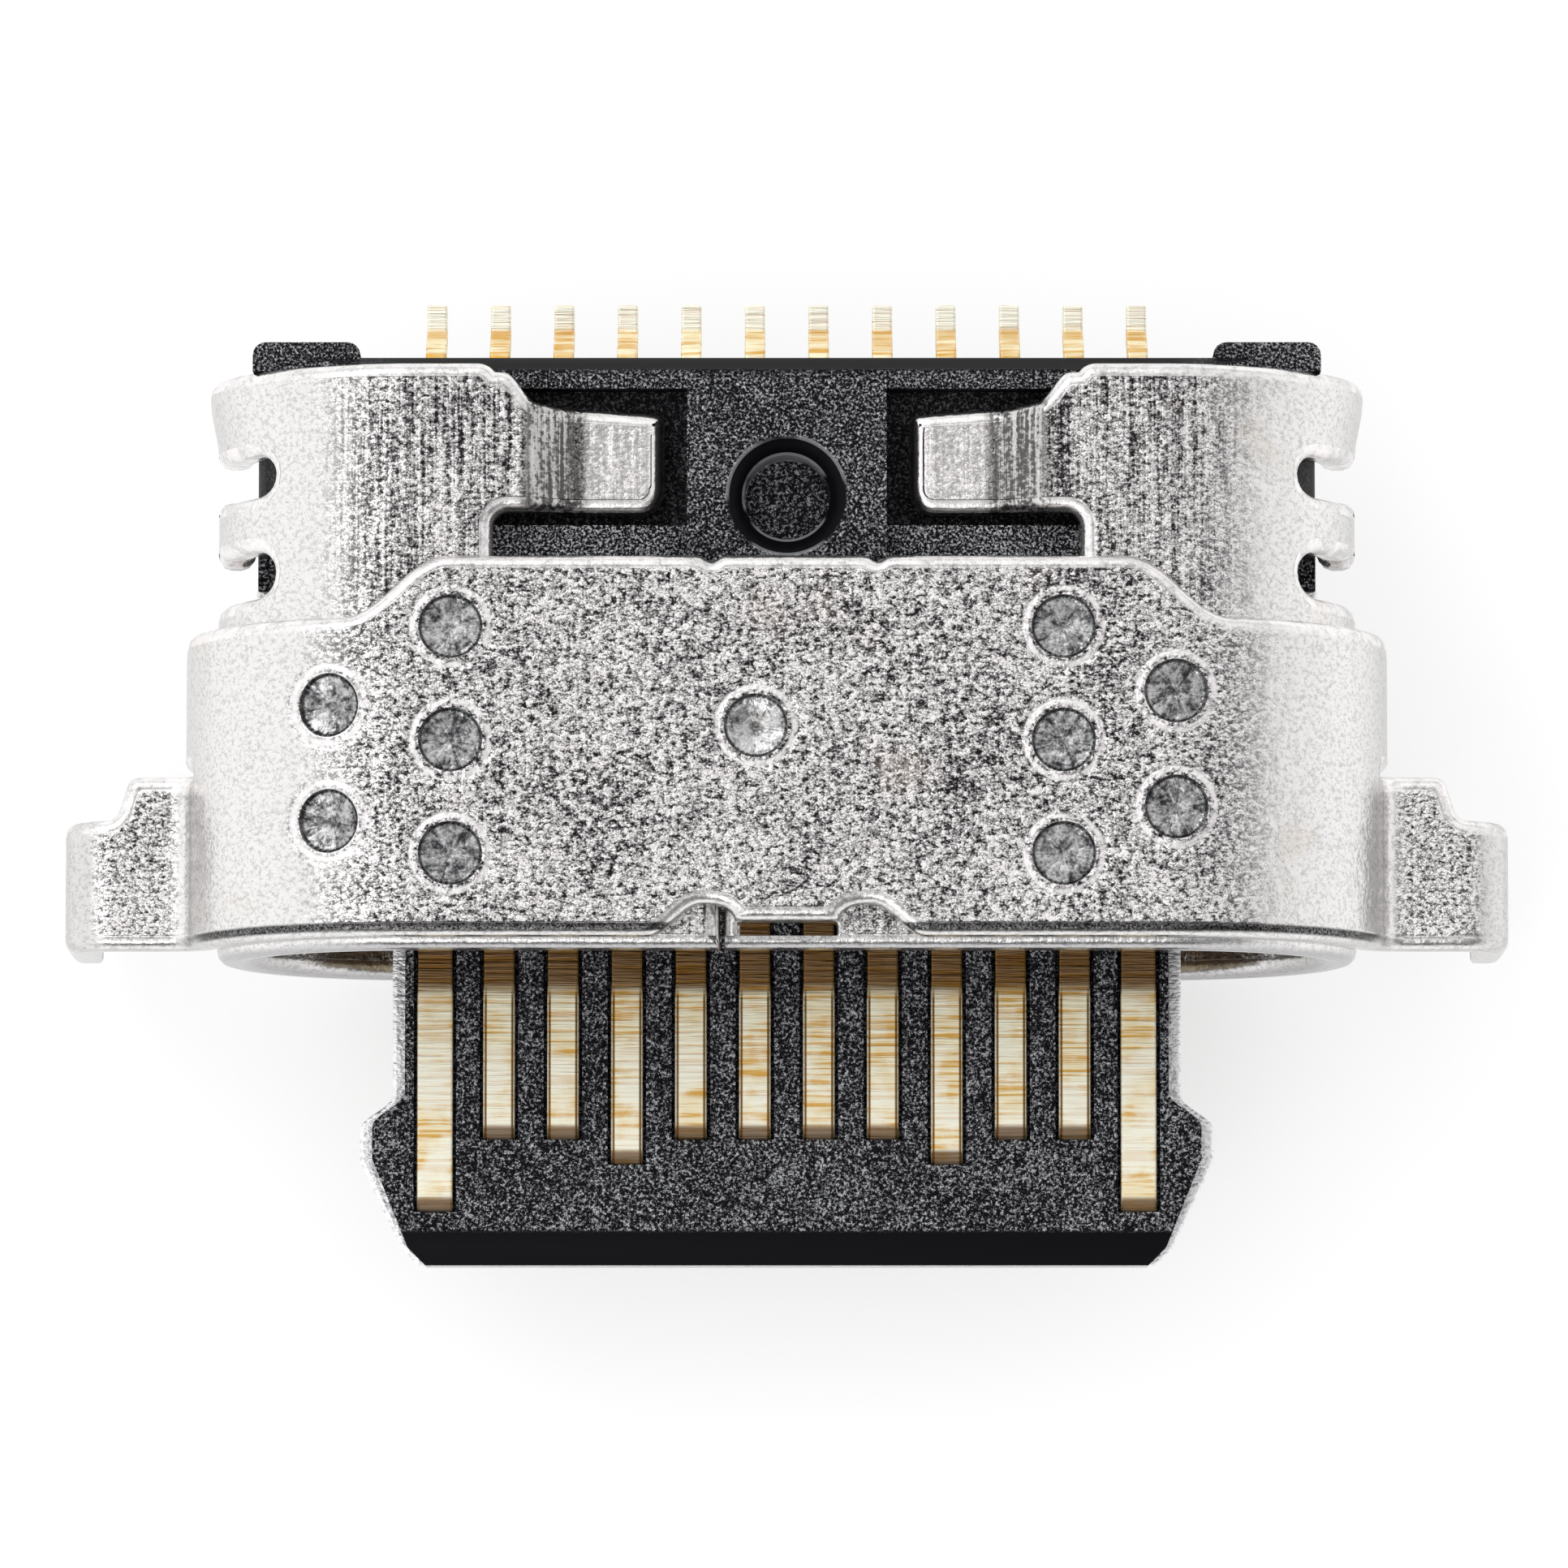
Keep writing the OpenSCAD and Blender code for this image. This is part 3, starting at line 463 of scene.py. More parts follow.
def roundedBox(x0, x1, y0, y1, r):
    corners = [(x0 + r, y1 - r, 180, 90), (x1 - r, y1 - r, 90, 0),
               (x1 - r, y0 + r, 0, -90), (x0 + r, y0 + r, 270, 180)]
    return [p for x, y, start, end in corners for p in arcPoints((x, y), r, start, end, 3)]


def softStep(t):
    return t * t * (3 - 2 * t)


def dropDoubles(loop):
    kept = []
    for p in loop:
        if not kept or math.dist(p, kept[-1]) > 1e-4:
            kept.append(p)
    if math.dist(kept[0], kept[-1]) < 1e-4:
        kept.pop()
    return kept


def refineLoop(loop, columns, longest):
    # cuts the edges where the columns cross them and wherever they are longer than longest
    loop = dropDoubles(loop)
    made = []
    for i, p in enumerate(loop):
        q = loop[(i + 1) % len(loop)]
        run = q[0] - p[0]
        cuts = [0.0, 1.0]
        if abs(run) > 1e-6:
            low, high = sorted((p[0], q[0]))
            cuts += [(c - p[0]) / run for c in columns if low + 0.004 < c < high - 0.004]
        cuts.sort()
        for t0, t1 in zip(cuts, cuts[1:]):
            pieces = max(1, math.ceil(math.dist(p, q) * (t1 - t0) / longest))
            for k in range(pieces):
                t = t0 + (t1 - t0) * k / pieces
                made.append((p[0] + run * t, p[1] + (q[1] - p[1]) * t))
    return np.array(made)


def outwardOf(loop):
    # the way out of the blank at each point, longer at corners so that an offset stays parallel
    edge = np.roll(loop, -1, 0) - loop
    side = np.stack([edge[:, 1], -edge[:, 0]], 1)
    side /= np.linalg.norm(side, axis=1)[:, None]
    before = np.roll(side, 1, 0)
    return (side + before) / np.maximum(1 + (side * before).sum(1), 0.5)[:, None]


def insideLoops(points, loops):
    inside = np.zeros(len(points), bool)
    x, y = points[:, 0], points[:, 1]
    for loop in loops:
        for (x0, y0), (x1, y1) in zip(loop, np.roll(loop, -1, 0)):
            if y0 != y1:
                inside ^= ((y0 > y) != (y1 > y)) & (x < (x1 - x0) * (y - y0) / (y1 - y0) + x0)
    return inside


def clearOfLoops(points, loops, gap):
    clear = np.ones(len(points), bool)
    for loop in loops:
        for p, q in zip(loop, np.roll(loop, -1, 0)):
            near = clear & (np.abs(points[:, 0] - (p[0] + q[0]) / 2) < gap + abs(q[0] - p[0]))
            some = np.nonzero(near)[0]
            if not len(some):
                continue
            d = q - p
            t = np.clip((points[some] - p) @ d / max(d @ d, 1e-12), 0, 1)
            clear[some[np.linalg.norm(points[some] - p - t[:, None] * d, axis=1) < gap]] = False
    return clear


def makeObject(name, points, faces, normals, look, nodes, marks=None):
    mesh = bpy.data.meshes.new(name)
    mesh.from_pydata((np.asarray(points) * mm).tolist(), [], faces)
    mesh.validate()
    if marks is not None:
        mesh.attributes.new(sheetMark["name"], "FLOAT_VECTOR", "POINT").data.foreach_set("vector", marks.ravel())
    mesh.polygons.foreach_set("use_smooth", [True] * len(mesh.polygons))
    mesh.normals_split_custom_set_from_vertices([tuple(n) for n in normals])
    mesh.materials.append(look)
    piece = addObject(name, mesh)
    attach(piece, "root")
    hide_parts(*nodes)


blank = {
    "gap": 0.035,  # from the net inside a blank to its edges and to the points of the welds, millimetres
    "reach": 0.001,  # how far apart the points are from which its slope is read, millimetres
    "turns": (0, 30, 60, 90),  # degrees, the steps of a rounded edge
}


def noMarks(spots):
    return np.ones((len(spots), 3))


def pressSheet(name, loops, place, thick, rims, columns, rows, look, nodes,
               longest=0.12, extra=(), marksOf=noMarks, holeShare=1.0):
    # a flat blank with rounded edges, laid on the surface that place(s, y, depth) gives
    # holeShare is how much of the edge rounding the holes get
    loops = [refineLoop(l, columns, longest) for l in loops]
    outward = [outwardOf(l) for l in loops]
    topRim, lowRim = rims
    turns = [math.radians(a) for a in blank["turns"]]
    profile = [(topRim * (1 - math.sin(a)), topRim * (1 - math.cos(a)), a, 1) for a in turns]
    profile += [(lowRim * (1 - math.sin(a)), thick - lowRim * (1 - math.cos(a)), a, -1) for a in reversed(turns)]
    share = [1.0] + [holeShare] * (len(loops) - 1)
    rings = [l - o * topRim * k for l, o, k in zip(loops, outward, share)]
    grid = np.array([(s, y) for s in columns for y in rows])
    if len(extra):
        nearest = np.array([np.min(np.linalg.norm(extra - g, axis=1)) for g in grid])
        grid = np.vstack([grid[nearest > blank["gap"]], extra])
    grid = grid[insideLoops(grid, rings)]
    grid = grid[clearOfLoops(grid, rings, blank["gap"])]
    flat = [Vector(p) for p in np.vstack([*rings, grid])]
    edges, start = [], 0
    for ring in rings:
        edges += [(start + i, start + (i + 1) % len(ring)) for i in range(len(ring))]
        start += len(ring)
    spots, _, triangles, origin, _, _ = delaunay_2d_cdt(flat, edges, [], 0, 1e-6)
    spots = np.array([tuple(p) for p in spots])
    source = [o[0] if o else -1 for o in origin]
    centres = np.array([spots[list(t)].mean(0) for t in triangles])
    kept = [t for t, good in zip(triangles, insideLoops(centres, rings)) if good]
    loopPoints, loopOut = np.vstack(loops), np.vstack(outward)
    loopShare = np.concatenate([np.full(len(l), k) for l, k in zip(loops, share)])
    ringCount = len(loopPoints)
    ringOf = {i: o for i, o in enumerate(source) if 0 <= o < ringCount}

    def lay(flatPoints, depths):
        s, y, step = flatPoints[:, 0], flatPoints[:, 1], blank["reach"]
        along = place(s + step, y, depths) - place(s - step, y, depths)
        across = place(s, y + step, depths) - place(s, y - step, depths)
        along /= np.linalg.norm(along, axis=1)[:, None]
        across /= np.linalg.norm(across, axis=1)[:, None]
        normal = np.cross(along, across)
        normal /= np.linalg.norm(normal, axis=1)[:, None]
        return place(s, y, depths), normal, along, across

    points, normals, index, marks, count = [], [], {}, [], 0
    inner = [i for i in range(len(spots)) if i not in ringOf]  # points away from the edges
    for level, depth in ((0, 0.0), (1, thick)):
        p, n, _, _ = lay(spots[inner], np.full(len(inner), depth))
        points.append(p)
        normals.append(n if level == 0 else -n)
        marks.append(marksOf(spots[inner]) if level == 0 else np.full((len(inner), 3), sheetMark["inner"]))
        for k, i in enumerate(inner):
            index[level, i] = count + k
        count += len(inner)
    ringStart = []
    for inset, depth, turn, side in profile:
        at = loopPoints - loopOut * inset * loopShare[:, None]
        p, n, along, across = lay(at, depth * loopShare if side > 0 else thick - (thick - depth) * loopShare)
        out = loopOut[:, :1] * along + loopOut[:, 1:] * across
        out /= np.linalg.norm(out, axis=1)[:, None]
        points.append(p)
        normals.append(n * side * math.cos(turn) + out * math.sin(turn))
        marks.append(np.full((ringCount, 3), sheetMark["rim"]))
        ringStart.append(count)
        count += ringCount
    for i, o in ringOf.items():
        index[0, i] = ringStart[0] + o
        index[1, i] = ringStart[-1] + o
    faces = []
    for a, b, c in kept:
        faces.append((index[0, a], index[0, b], index[0, c]))
        faces.append((index[1, c], index[1, b], index[1, a]))
    start = 0
    for loop in loops:
        for i in range(len(loop)):
            j = (i + 1) % len(loop)
            for low, high in zip(ringStart, ringStart[1:]):
                faces.append((low + start + j, low + start + i, high + start + i, high + start + j))
        start += len(loop)
    points, normals = np.vstack(points), np.vstack(normals)
    a, b, c = (spots[kept[0][k]] for k in range(3))
    if (b[0] - a[0]) * (c[1] - a[1]) - (b[1] - a[1]) * (c[0] - a[0]) < 0:
        faces = [tuple(reversed(f)) for f in faces]
    used = sorted(set(i for f in faces for i in f))
    new = {o: k for k, o in enumerate(used)}
    faces = [tuple(new[i] for i in f) for f in faces]
    makeObject(name, points[used], faces, normals[used], look, nodes, np.concatenate(marks)[used])


shell = {
    "thick": 0.30, "outer": 1.58, "corner": 2.89, "long": 4.57, "floor": 3.20,
    "seamLeft": -0.515, "seamRight": -0.485, "seat": 0.05,
    "windowHalf": 2.28, "windowFront": 2.82, "windowRound": 0.12,
    "fingerFront": 3.41, "fingerTipRear": 4.19, "fingerTip": 0.95,
    "fingerDrop": 0.22, "slopeStart": 2.08, "slopeEnd": 1.58,
    "lobe": 2.06,
    "notchIn": 4.02, "frontNotch": (2.80, 3.16), "rearNotch": (3.595, 3.905),
    "reliefX": 4.17,
    "slot": (-0.39, 0.39, 0.09, 0.22), "slotRound": 0.04,
    "nub": 0.05,  # burrs beside the two notches of each side
    "fingerBack": 3.33, "tipRun": 0.16, "tipDrop": 0.035,  # the fingers bend behind it, their tips a little more
    "openY": (3.95, 0.5), "openX": (3.4, 0.8), "open": 0.07,  # the rear end of the sides opens a little
    "rims": (0.10, 0.12),  # rounding of the outer and the inner edges
    "net": {"top": 0.09, "side": 0.07, "floor": 0.2, "rows": 0.12},
}
quarter = math.pi / 2 * shell["outer"]
around = 4 * shell["corner"] + 4 * quarter  # once round the outside


def shellS(x):
    # distance along the outside, from the middle of the top, of a point at x on the upper right
    if x <= shell["corner"]:
        return x
    return shell["corner"] + shell["outer"] * math.asin(min(1, (x - shell["corner"]) / shell["outer"]))


def placeShell(s, y, depth):
    s, y, depth = (np.asarray(v, float) for v in (s, y, depth))
    s = np.mod(s, around)
    r, c = shell["outer"], shell["corner"]
    radius = r - depth
    x, z = np.zeros_like(s), np.zeros_like(s)
    stops = [c, c + 2 * quarter, 3 * c + 2 * quarter, 3 * c + 4 * quarter]  # where flats and round sides meet
    top = s <= stops[0]
    x[top], z[top] = s[top], radius[top]
    right = (s > stops[0]) & (s <= stops[1])
    turn = (s[right] - stops[0]) / r
    x[right], z[right] = c + radius[right] * np.sin(turn), radius[right] * np.cos(turn)
    low = (s > stops[1]) & (s <= stops[2])
    x[low], z[low] = c - (s[low] - stops[1]), -radius[low]
    left = (s > stops[2]) & (s <= stops[3])
    turn = (s[left] - stops[2]) / r
    x[left], z[left] = -c - radius[left] * np.sin(turn), -radius[left] * np.cos(turn)
    end = s > stops[3]
    x[end], z[end] = s[end] - around, radius[end]
    aside, tipRun = np.abs(x), shell["tipRun"]
    finger = (y > shell["fingerBack"]) & (aside < shell["windowHalf"]) & (z > 0)
    t = np.clip((shell["slopeStart"] - aside) / (shell["slopeStart"] - shell["slopeEnd"]), 0, 1)
    tip = np.clip((shell["fingerTip"] + tipRun - aside) / tipRun, 0, 1)
    soft = np.clip((t - 0.15) / 0.7, 0, 1) * 0.75 + 0.25 * softStep(t)
    z = z - np.where(finger, shell["fingerDrop"] * soft + shell["tipDrop"] * tip * tip, 0)
    (rear, rearRun), (side, sideRun) = shell["openY"], shell["openX"]
    flare = np.clip((y - rear) / rearRun, 0, 1) * np.clip((aside - side) / sideRun, 0, 1)
    x = x + np.sign(x) * shell["open"] * softStep(flare)
    return np.stack([x, y, z], 1)


def shellHalf():
    # right half of the blank, from the window's front edge round to the middle of the floor
    window, c = shell["windowHalf"], shell["corner"]
    seatS = c + shell["outer"] * (math.pi / 2 - math.asin(shell["seat"] / shell["outer"]))
    rear, front = shell["long"], shell["fingerFront"]
    tipX, r = shell["fingerTip"], shell["windowRound"]
    points = [(window, shell["windowFront"])]
    points += arcPoints((window - r, front - r), r, 0, 90)
    points += arcPoints((tipX + 0.2, front + 0.2), 0.2, 270, 180)
    points += arcPoints((tipX + 0.07, shell["fingerTipRear"] - 0.07), 0.07, 180, 90, 5)
    points += [(1.75, shell["fingerTipRear"] + 0.055)]
    points += smoothStep((1.93, 4.265), (shell["lobe"] + 0.14, rear - 0.07), 8)
    points += arcPoints((shell["lobe"] + 0.34, rear - 0.16), 0.16, 145, 90, 5)
    points += arcPoints((seatS - 0.12, rear - 0.12), 0.12, 90, 0, 6)
    nub = shell["nub"]
    for notch in ("rearNotch", "frontNotch"):
        low, high = shell[notch]
        r = (high - low) / 2
        if notch == "frontNotch":
            points += [(seatS, high - nub), (seatS - 0.10, high - 0.6 * nub), (seatS - 0.17, high)]
        else:
            points += [(seatS, high)]
        points += [(shellS(x), y) for x, y in arcPoints((shell["notchIn"] + r, low + r), r, 90, 270, 12)]
        if notch == "rearNotch":
            points += [(seatS - 0.17, low), (seatS - 0.10, low + 0.6 * nub), (seatS, low + nub)]
    reliefS = c + shell["outer"] * (math.pi - math.asin((shell["reliefX"] - c) / shell["outer"]))
    points += [(reliefS, shell["frontNotch"][0]), (reliefS, shell["floor"])]
    return points


def rollShell():
    half, front = shellHalf(), shell["windowFront"]
    outline = [(shell["seamRight"], 0), (around + shell["seamLeft"], 0), (around + shell["seamLeft"], front)]
    outline += [(around - s, y) for s, y in half] + half[::-1] + [(shell["seamRight"], front)]
    slot = roundedBox(*shell["slot"], shell["slotRound"])
    net, c, side = shell["net"], shell["corner"], 2 * quarter
    runs = [(-0.48, c + 0.01, net["top"]), (c, c + side, net["side"]), (c + side, 3 * c + side, net["floor"]),
            (3 * c + side, 3 * c + 2 * side, net["side"]), (3 * c + 2 * side, around - 0.5, net["top"])]
    columns = sorted(set(np.round(np.concatenate([np.arange(*run) for run in runs]), 4)))
    rows = np.arange(0.08, shell["long"], net["rows"])
    pressSheet("rolledShell", [outline, slot], placeShell, shell["thick"], shell["rims"], columns, rows,
               looks["shell"], ["inner_shell"], holeShare=0.3)


rollShell()
print("shell rolled")

cover = {
    "thick": 0.25, "outer": 1.83, "front": 0.08, "tabFront": 0.20, "tabHalf": 0.40,
    "archTop": 0.33, "archRise": 0.20, "archEnd": 0.68,
    "rear": 3.04, "sideRear": 2.57, "neck": 2.62, "neckRun": 0.83,
    "wingFront": 0.10, "wingRear": 1.46, "legRear": 1.12, "slit": 0.04,
    "wingTop": 0.30, "flare": 0.17, "legBend": 0.15, "halfSpan": 5.67, "legDepth": 1.10,
    "shoulder": 0.06,  # how far into the bend the wing's rear corner reaches
    "dips": (-0.58, 0.70), "dipRound": 0.10, "dipDeep": 0.045,
    "rims": (0.095, 0.03),
    "weldWide": 0.25, "weldDeep": 0.032, "haloWide": 0.325, "haloRun": 0.030, "haloDeep": 0.006,
    "wall": 0.026, "prickWide": 0.035, "prickDeep": 0.012,
    "weldRings": [(0.03, 8), (0.06, 12), (0.10, 16), (0.14, 20), (0.18, 24), (0.20, 28), (0.222, 32), (0.236, 36),
                  (0.25, 36), (0.27, 36), (0.29, 36), (0.305, 40), (0.32, 40), (0.335, 40), (0.35, 40), (0.38, 40)],
    "weldPush": [0.9, 1.0, 1.1, 1.2, 1.5, 1.2, 3.0, 3.0, 1.8, 1.1, 2.6],
    "welds": [(-2.60, 0.72), (-2.60, 1.60), (-2.60, 2.48), (2.14, 0.72), (2.14, 1.60), (2.14, 2.48),
              (-3.55, 0.98), (-3.55, 1.88), (3.01, 1.08), (3.01, 1.98), (-0.24, 1.71)],
}
# where each bend starts, by place (X, Z) and by distance along the outside (S)
flareZ = cover["wingTop"] + cover["flare"]
flareTurn = math.pi / 2 - math.asin(flareZ / (cover["outer"] + cover["flare"]))  # from the top of the side
flareX = shell["corner"] + (cover["outer"] + cover["flare"]) * math.sin(flareTurn)
bendX = cover["halfSpan"] - cover["legBend"] - cover["thick"]
bendZ = shell["seat"] - cover["legBend"]
flareS = shell["corner"] + cover["outer"] * flareTurn
flatS = flareS + cover["flare"] * flareTurn
bendS = flatS + bendX - flareX
legS = bendS + (cover["legBend"] + cover["thick"]) * math.pi / 2
endS = legS + bendZ + cover["legDepth"]
wallS = shell["corner"] + cover["outer"] * (math.pi / 2 - math.asin(shell["seat"] / cover["outer"]))


def coverS(x):
    if x <= shell["corner"]:
        return x
    return shell["corner"] + cover["outer"] * math.asin((x - shell["corner"]) / cover["outer"])


weldSpots = [(math.copysign(coverS(abs(x)), x), y) for x, y in cover["welds"]]


def weldDepth(s, y):
    # a crisp little wall, a shallow cone with a prick in its middle, and a faint ring outside
    depth = np.zeros_like(s)
    for (ws, wy), push in zip(weldSpots, cover["weldPush"]):
        r = np.hypot(s - ws, y - wy)
        wall = np.clip((cover["weldWide"] - r) / cover["wall"], 0, 1)
        cone = np.clip(1 - r / cover["weldWide"], 0, 1)
        prick = np.clip(1 - r / cover["prickWide"], 0, 1)
        ring = np.clip(1 - np.abs(r - cover["haloWide"]) / cover["haloRun"], 0, 1)
        depth += cover["wall"] * softStep(wall) + cover["weldDeep"] * push * cone + cover["prickDeep"] * prick
        depth += cover["haloDeep"] * softStep(ring)
    return depth


def weldReach(spots):
    # step from the middle of the nearest weld, and how far it is
    steps = np.array([spots[:, :2] - np.array(w) for w in weldSpots])
    nearest = np.argmin(np.hypot(steps[:, :, 0], steps[:, :, 1]), axis=0)
    step = steps[nearest, np.arange(len(spots))]
    return np.column_stack([step, np.hypot(step[:, 0], step[:, 1])])


def placeCover(s, y, depth):
    s, y, depth = (np.asarray(v, float) for v in (s, y, depth))
    side, a = np.sign(s) + (s == 0), np.abs(s)
    pressed = np.where(depth < 0.1, weldDepth(s, y), 0)
    radius = cover["outer"] - depth - pressed
    x, z = np.zeros_like(s), np.zeros_like(s)
    wing = (y < cover["wingRear"] + cover["slit"] / 2) & (a > flareS)
    top = a <= shell["corner"]
    x[top], z[top] = a[top], radius[top]
    curve = ~top & ~wing
    turn = (a[curve] - shell["corner"]) / cover["outer"]
    x[curve], z[curve] = shell["corner"] + radius[curve] * np.sin(turn), radius[curve] * np.cos(turn)
    hollow = wing & (a <= flatS)
    turn = flareTurn - (a[hollow] - flareS) / cover["flare"]
    reach = cover["flare"] + depth[hollow]
    x[hollow], z[hollow] = flareX - reach * np.sin(turn), flareZ - reach * np.cos(turn)
    flat = wing & (a > flatS) & (a <= bendS)
    x[flat], z[flat] = flareX + a[flat] - flatS, cover["wingTop"] - depth[flat]
    bend = wing & (a > bendS) & (a <= legS)
    turn = (a[bend] - bendS) / (cover["legBend"] + cover["thick"])
    reach = cover["legBend"] + cover["thick"] - depth[bend]
    x[bend], z[bend] = bendX + reach * np.sin(turn), bendZ + reach * np.cos(turn)
    leg = wing & (a > legS)
    x[leg], z[leg] = cover["halfSpan"] - depth[leg], bendZ - (a[leg] - legS)
    return np.stack([side * x, y, z], 1)


def coverHalf(side):
    # one half of the blank, from the middle of the tab round to the middle of the rear edge
    c = cover
    tab, rise = c["tabHalf"], c["archRise"]
    points = [(tab, c["tabFront"])]
    for t in (math.radians(15 * i) for i in range(1, 7)):
        deep = (c["archTop"] - c["tabFront"]) * math.sin(t)
        points.append((tab + rise * (1 - math.cos(t)), c["tabFront"] + deep))
    points += smoothStep((tab + rise + 0.05, c["archTop"]), (tab + c["archEnd"], c["front"]), 10)
    points += smoothStep((flareS - 0.5, c["front"]), (flareS + 0.1, c["wingFront"]), 5)
    points += arcPoints((endS - 0.08, c["wingFront"] + 0.08), 0.08, 270, 360, 4)
    points += arcPoints((endS - 0.12, c["legRear"] - 0.12), 0.12, 0, 90, 5)
    legOuter = c["legBend"] + c["thick"]
    shoulderOut = bendS + legOuter * math.asin(c["shoulder"] / legOuter)
    points += arcPoints((shoulderOut + 0.02, c["legRear"] + 0.13), 0.13, 270, 190, 6)
    points += arcPoints((bendS - 0.20, c["wingRear"] - 0.11), 0.11, 5, 90, 6)
    points += [(flareS + 0.02, c["wingRear"])]
    points += arcPoints((flareS, c["wingRear"] + c["slit"] / 2), c["slit"] / 2, 270, 90, 5)
    points += [(wallS, c["wingRear"] + c["slit"])]
    points += arcPoints((wallS - 0.3, c["sideRear"] - 0.3), 0.3, 0, 90, 7)
    points += smoothStep((coverS(c["neck"] + c["neckRun"]), c["sideRear"]), (c["neck"], c["rear"]), 14)
    dip, r = abs(c["dips"][0 if side < 0 else 1]), c["dipRound"]
    edge, deep = c["rear"] - 0.005, c["rear"] - c["dipDeep"]
    points += [(dip + 1.2 * r, c["rear"])] + smoothStep((dip + r, edge), (dip, deep), 5)
    points += smoothStep((dip, deep), (dip - r, edge), 5) + [(dip - 1.2 * r, c["rear"])]
    return points


def pressCover():
    right = coverHalf(1)
    left = [(-s, y) for s, y in reversed(coverHalf(-1))]
    columns = list(np.arange(0, shell["corner"], 0.1)) + list(np.arange(shell["corner"], flareS, 0.07))
    columns += list(np.linspace(flareS, flatS, 8)) + list(np.linspace(flatS, bendS, 5)[1:])
    columns += list(np.linspace(bendS, legS, 12)[1:]) + list(np.linspace(legS, endS, 9)[1:])
    columns = sorted(set(np.round([-c for c in columns] + columns, 4)))
    rows = np.arange(0.16, cover["rear"], 0.1)
    extra = []
    for ws, wy in weldSpots:
        extra.append((ws, wy))
        for r, count in cover["weldRings"]:
            turns = np.linspace(0, 2 * math.pi, count, False) + r
            extra += [(ws + r * math.cos(t), wy + r * math.sin(t)) for t in turns]
    pressSheet("pressedCover", [right + left], placeCover, cover["thick"], cover["rims"], columns, rows,
               looks["cover"], ["outer_cover"], extra=np.array(extra), marksOf=weldReach)


pressCover()
print("cover pressed")

plate = {
    "thick": 0.15, "tip": -2.365, "half": 3.345, "latchHalf": 3.09, "tipHalf": 3.02, "tipCut": 0.14,
    "taper": 0.82, "latch": 1.07, "latchRun": 0.27, "rear": 2.95, "ear": 0.80, "earX": 4.1678,
    "holes": [-2.25, -0.75, 0.75, 2.25], "holeRadius": 0.3, "rims": (0.035, 0.035),
    "net": 0.3, "longest": 0.2,
}


def plateHalf():
    # right half, from the tip to the ear inside the block
    p = plate
    tip, latch, ear = p["tip"], p["tip"] + p["latch"], p["rear"] - p["ear"]
    points = [(p["tipHalf"] - p["tipCut"], tip), (p["tipHalf"], tip + p["tipCut"]), (p["half"], tip + p["taper"])]
    points += smoothStep((p["half"], latch), (p["latchHalf"], latch + p["latchRun"]), 12, 1)
    return points + [(p["latchHalf"], ear), (p["earX"], ear), (p["earX"], p["rear"])]


def placePlate(s, y, depth):
    return np.stack([s, y, plate["thick"] / 2 - np.asarray(depth, float) + 0 * np.asarray(s)], 1)


def stampPlate():
    half = plateHalf()
    outline = half + [(-x, y) for x, y in reversed(half)]
    middle = plate["tip"] + plate["latch"] + plate["latchRun"]
    holes = [arcPoints((x, middle), plate["holeRadius"], 360, 0, 24) for x in plate["holes"]]
    columns, rows = np.arange(-4.1, 4.15, plate["net"]), np.arange(-2.3, plate["rear"], plate["net"])
    pressSheet("tonguePlate", [outline] + holes, placePlate, plate["thick"], plate["rims"], columns, rows,
               looks["plate"], ["mid_plate"], plate["longest"])


stampPlate()
print("plate stamped")

# contacts and ground pads are strips, each along a path of (y, z)
strip = {
    "pitch": 0.5, "count": 12, "thick": 0.15, "blade": 0.25, "ground": 0.28, "tail": 0.16,
    "starts": {0: 0.43, 3: 0.80, 8: 0.80, 11: 0.43}, "start": 0.995,  # behind the tip of the plate
    "bladeZ": 0.275, "footZ": 0.125, "runZ": 0.525, "dip": 0.055, "dipRun": 0.11,
    "narrowAt": 2.625, "narrowRun": 0.05, "bend": 0.10, "rim": 0.022,
    "upperRise": (2.35, 2.65), "upperFall": (4.74, 4.94), "upperEnd": 5.20,
    "lowerRise": (3.00, 3.40), "lowerEnd": 4.25,
}


def roundedPath(corners, radius, count=6):
    # the corners joined by straight lines and arcs of the given radius
    made = [np.array(corners[0], float)]
    for p, c, q in zip(corners, corners[1:], corners[2:]):
        p, c, q = (np.array(v, float) for v in (p, c, q))
        a, b = (p - c) / np.linalg.norm(p - c), (q - c) / np.linalg.norm(q - c)
        half = math.acos(max(-1, min(1, float(a @ b)))) / 2
        middle = (a + b) / np.linalg.norm(a + b)
        centre = c + middle * radius / math.sin(half)
        first, last = c + a * radius / math.tan(half) - centre, c + b * radius / math.tan(half) - centre
        start = math.atan2(first[1], first[0])
        turn = (math.atan2(last[1], last[0]) - start + math.pi) % (2 * math.pi) - math.pi
        for i in range(count + 1):
            t = start + turn * i / count
            made.append(centre + radius * np.array([math.cos(t), math.sin(t)]))
    return made + [np.array(corners[-1], float)]


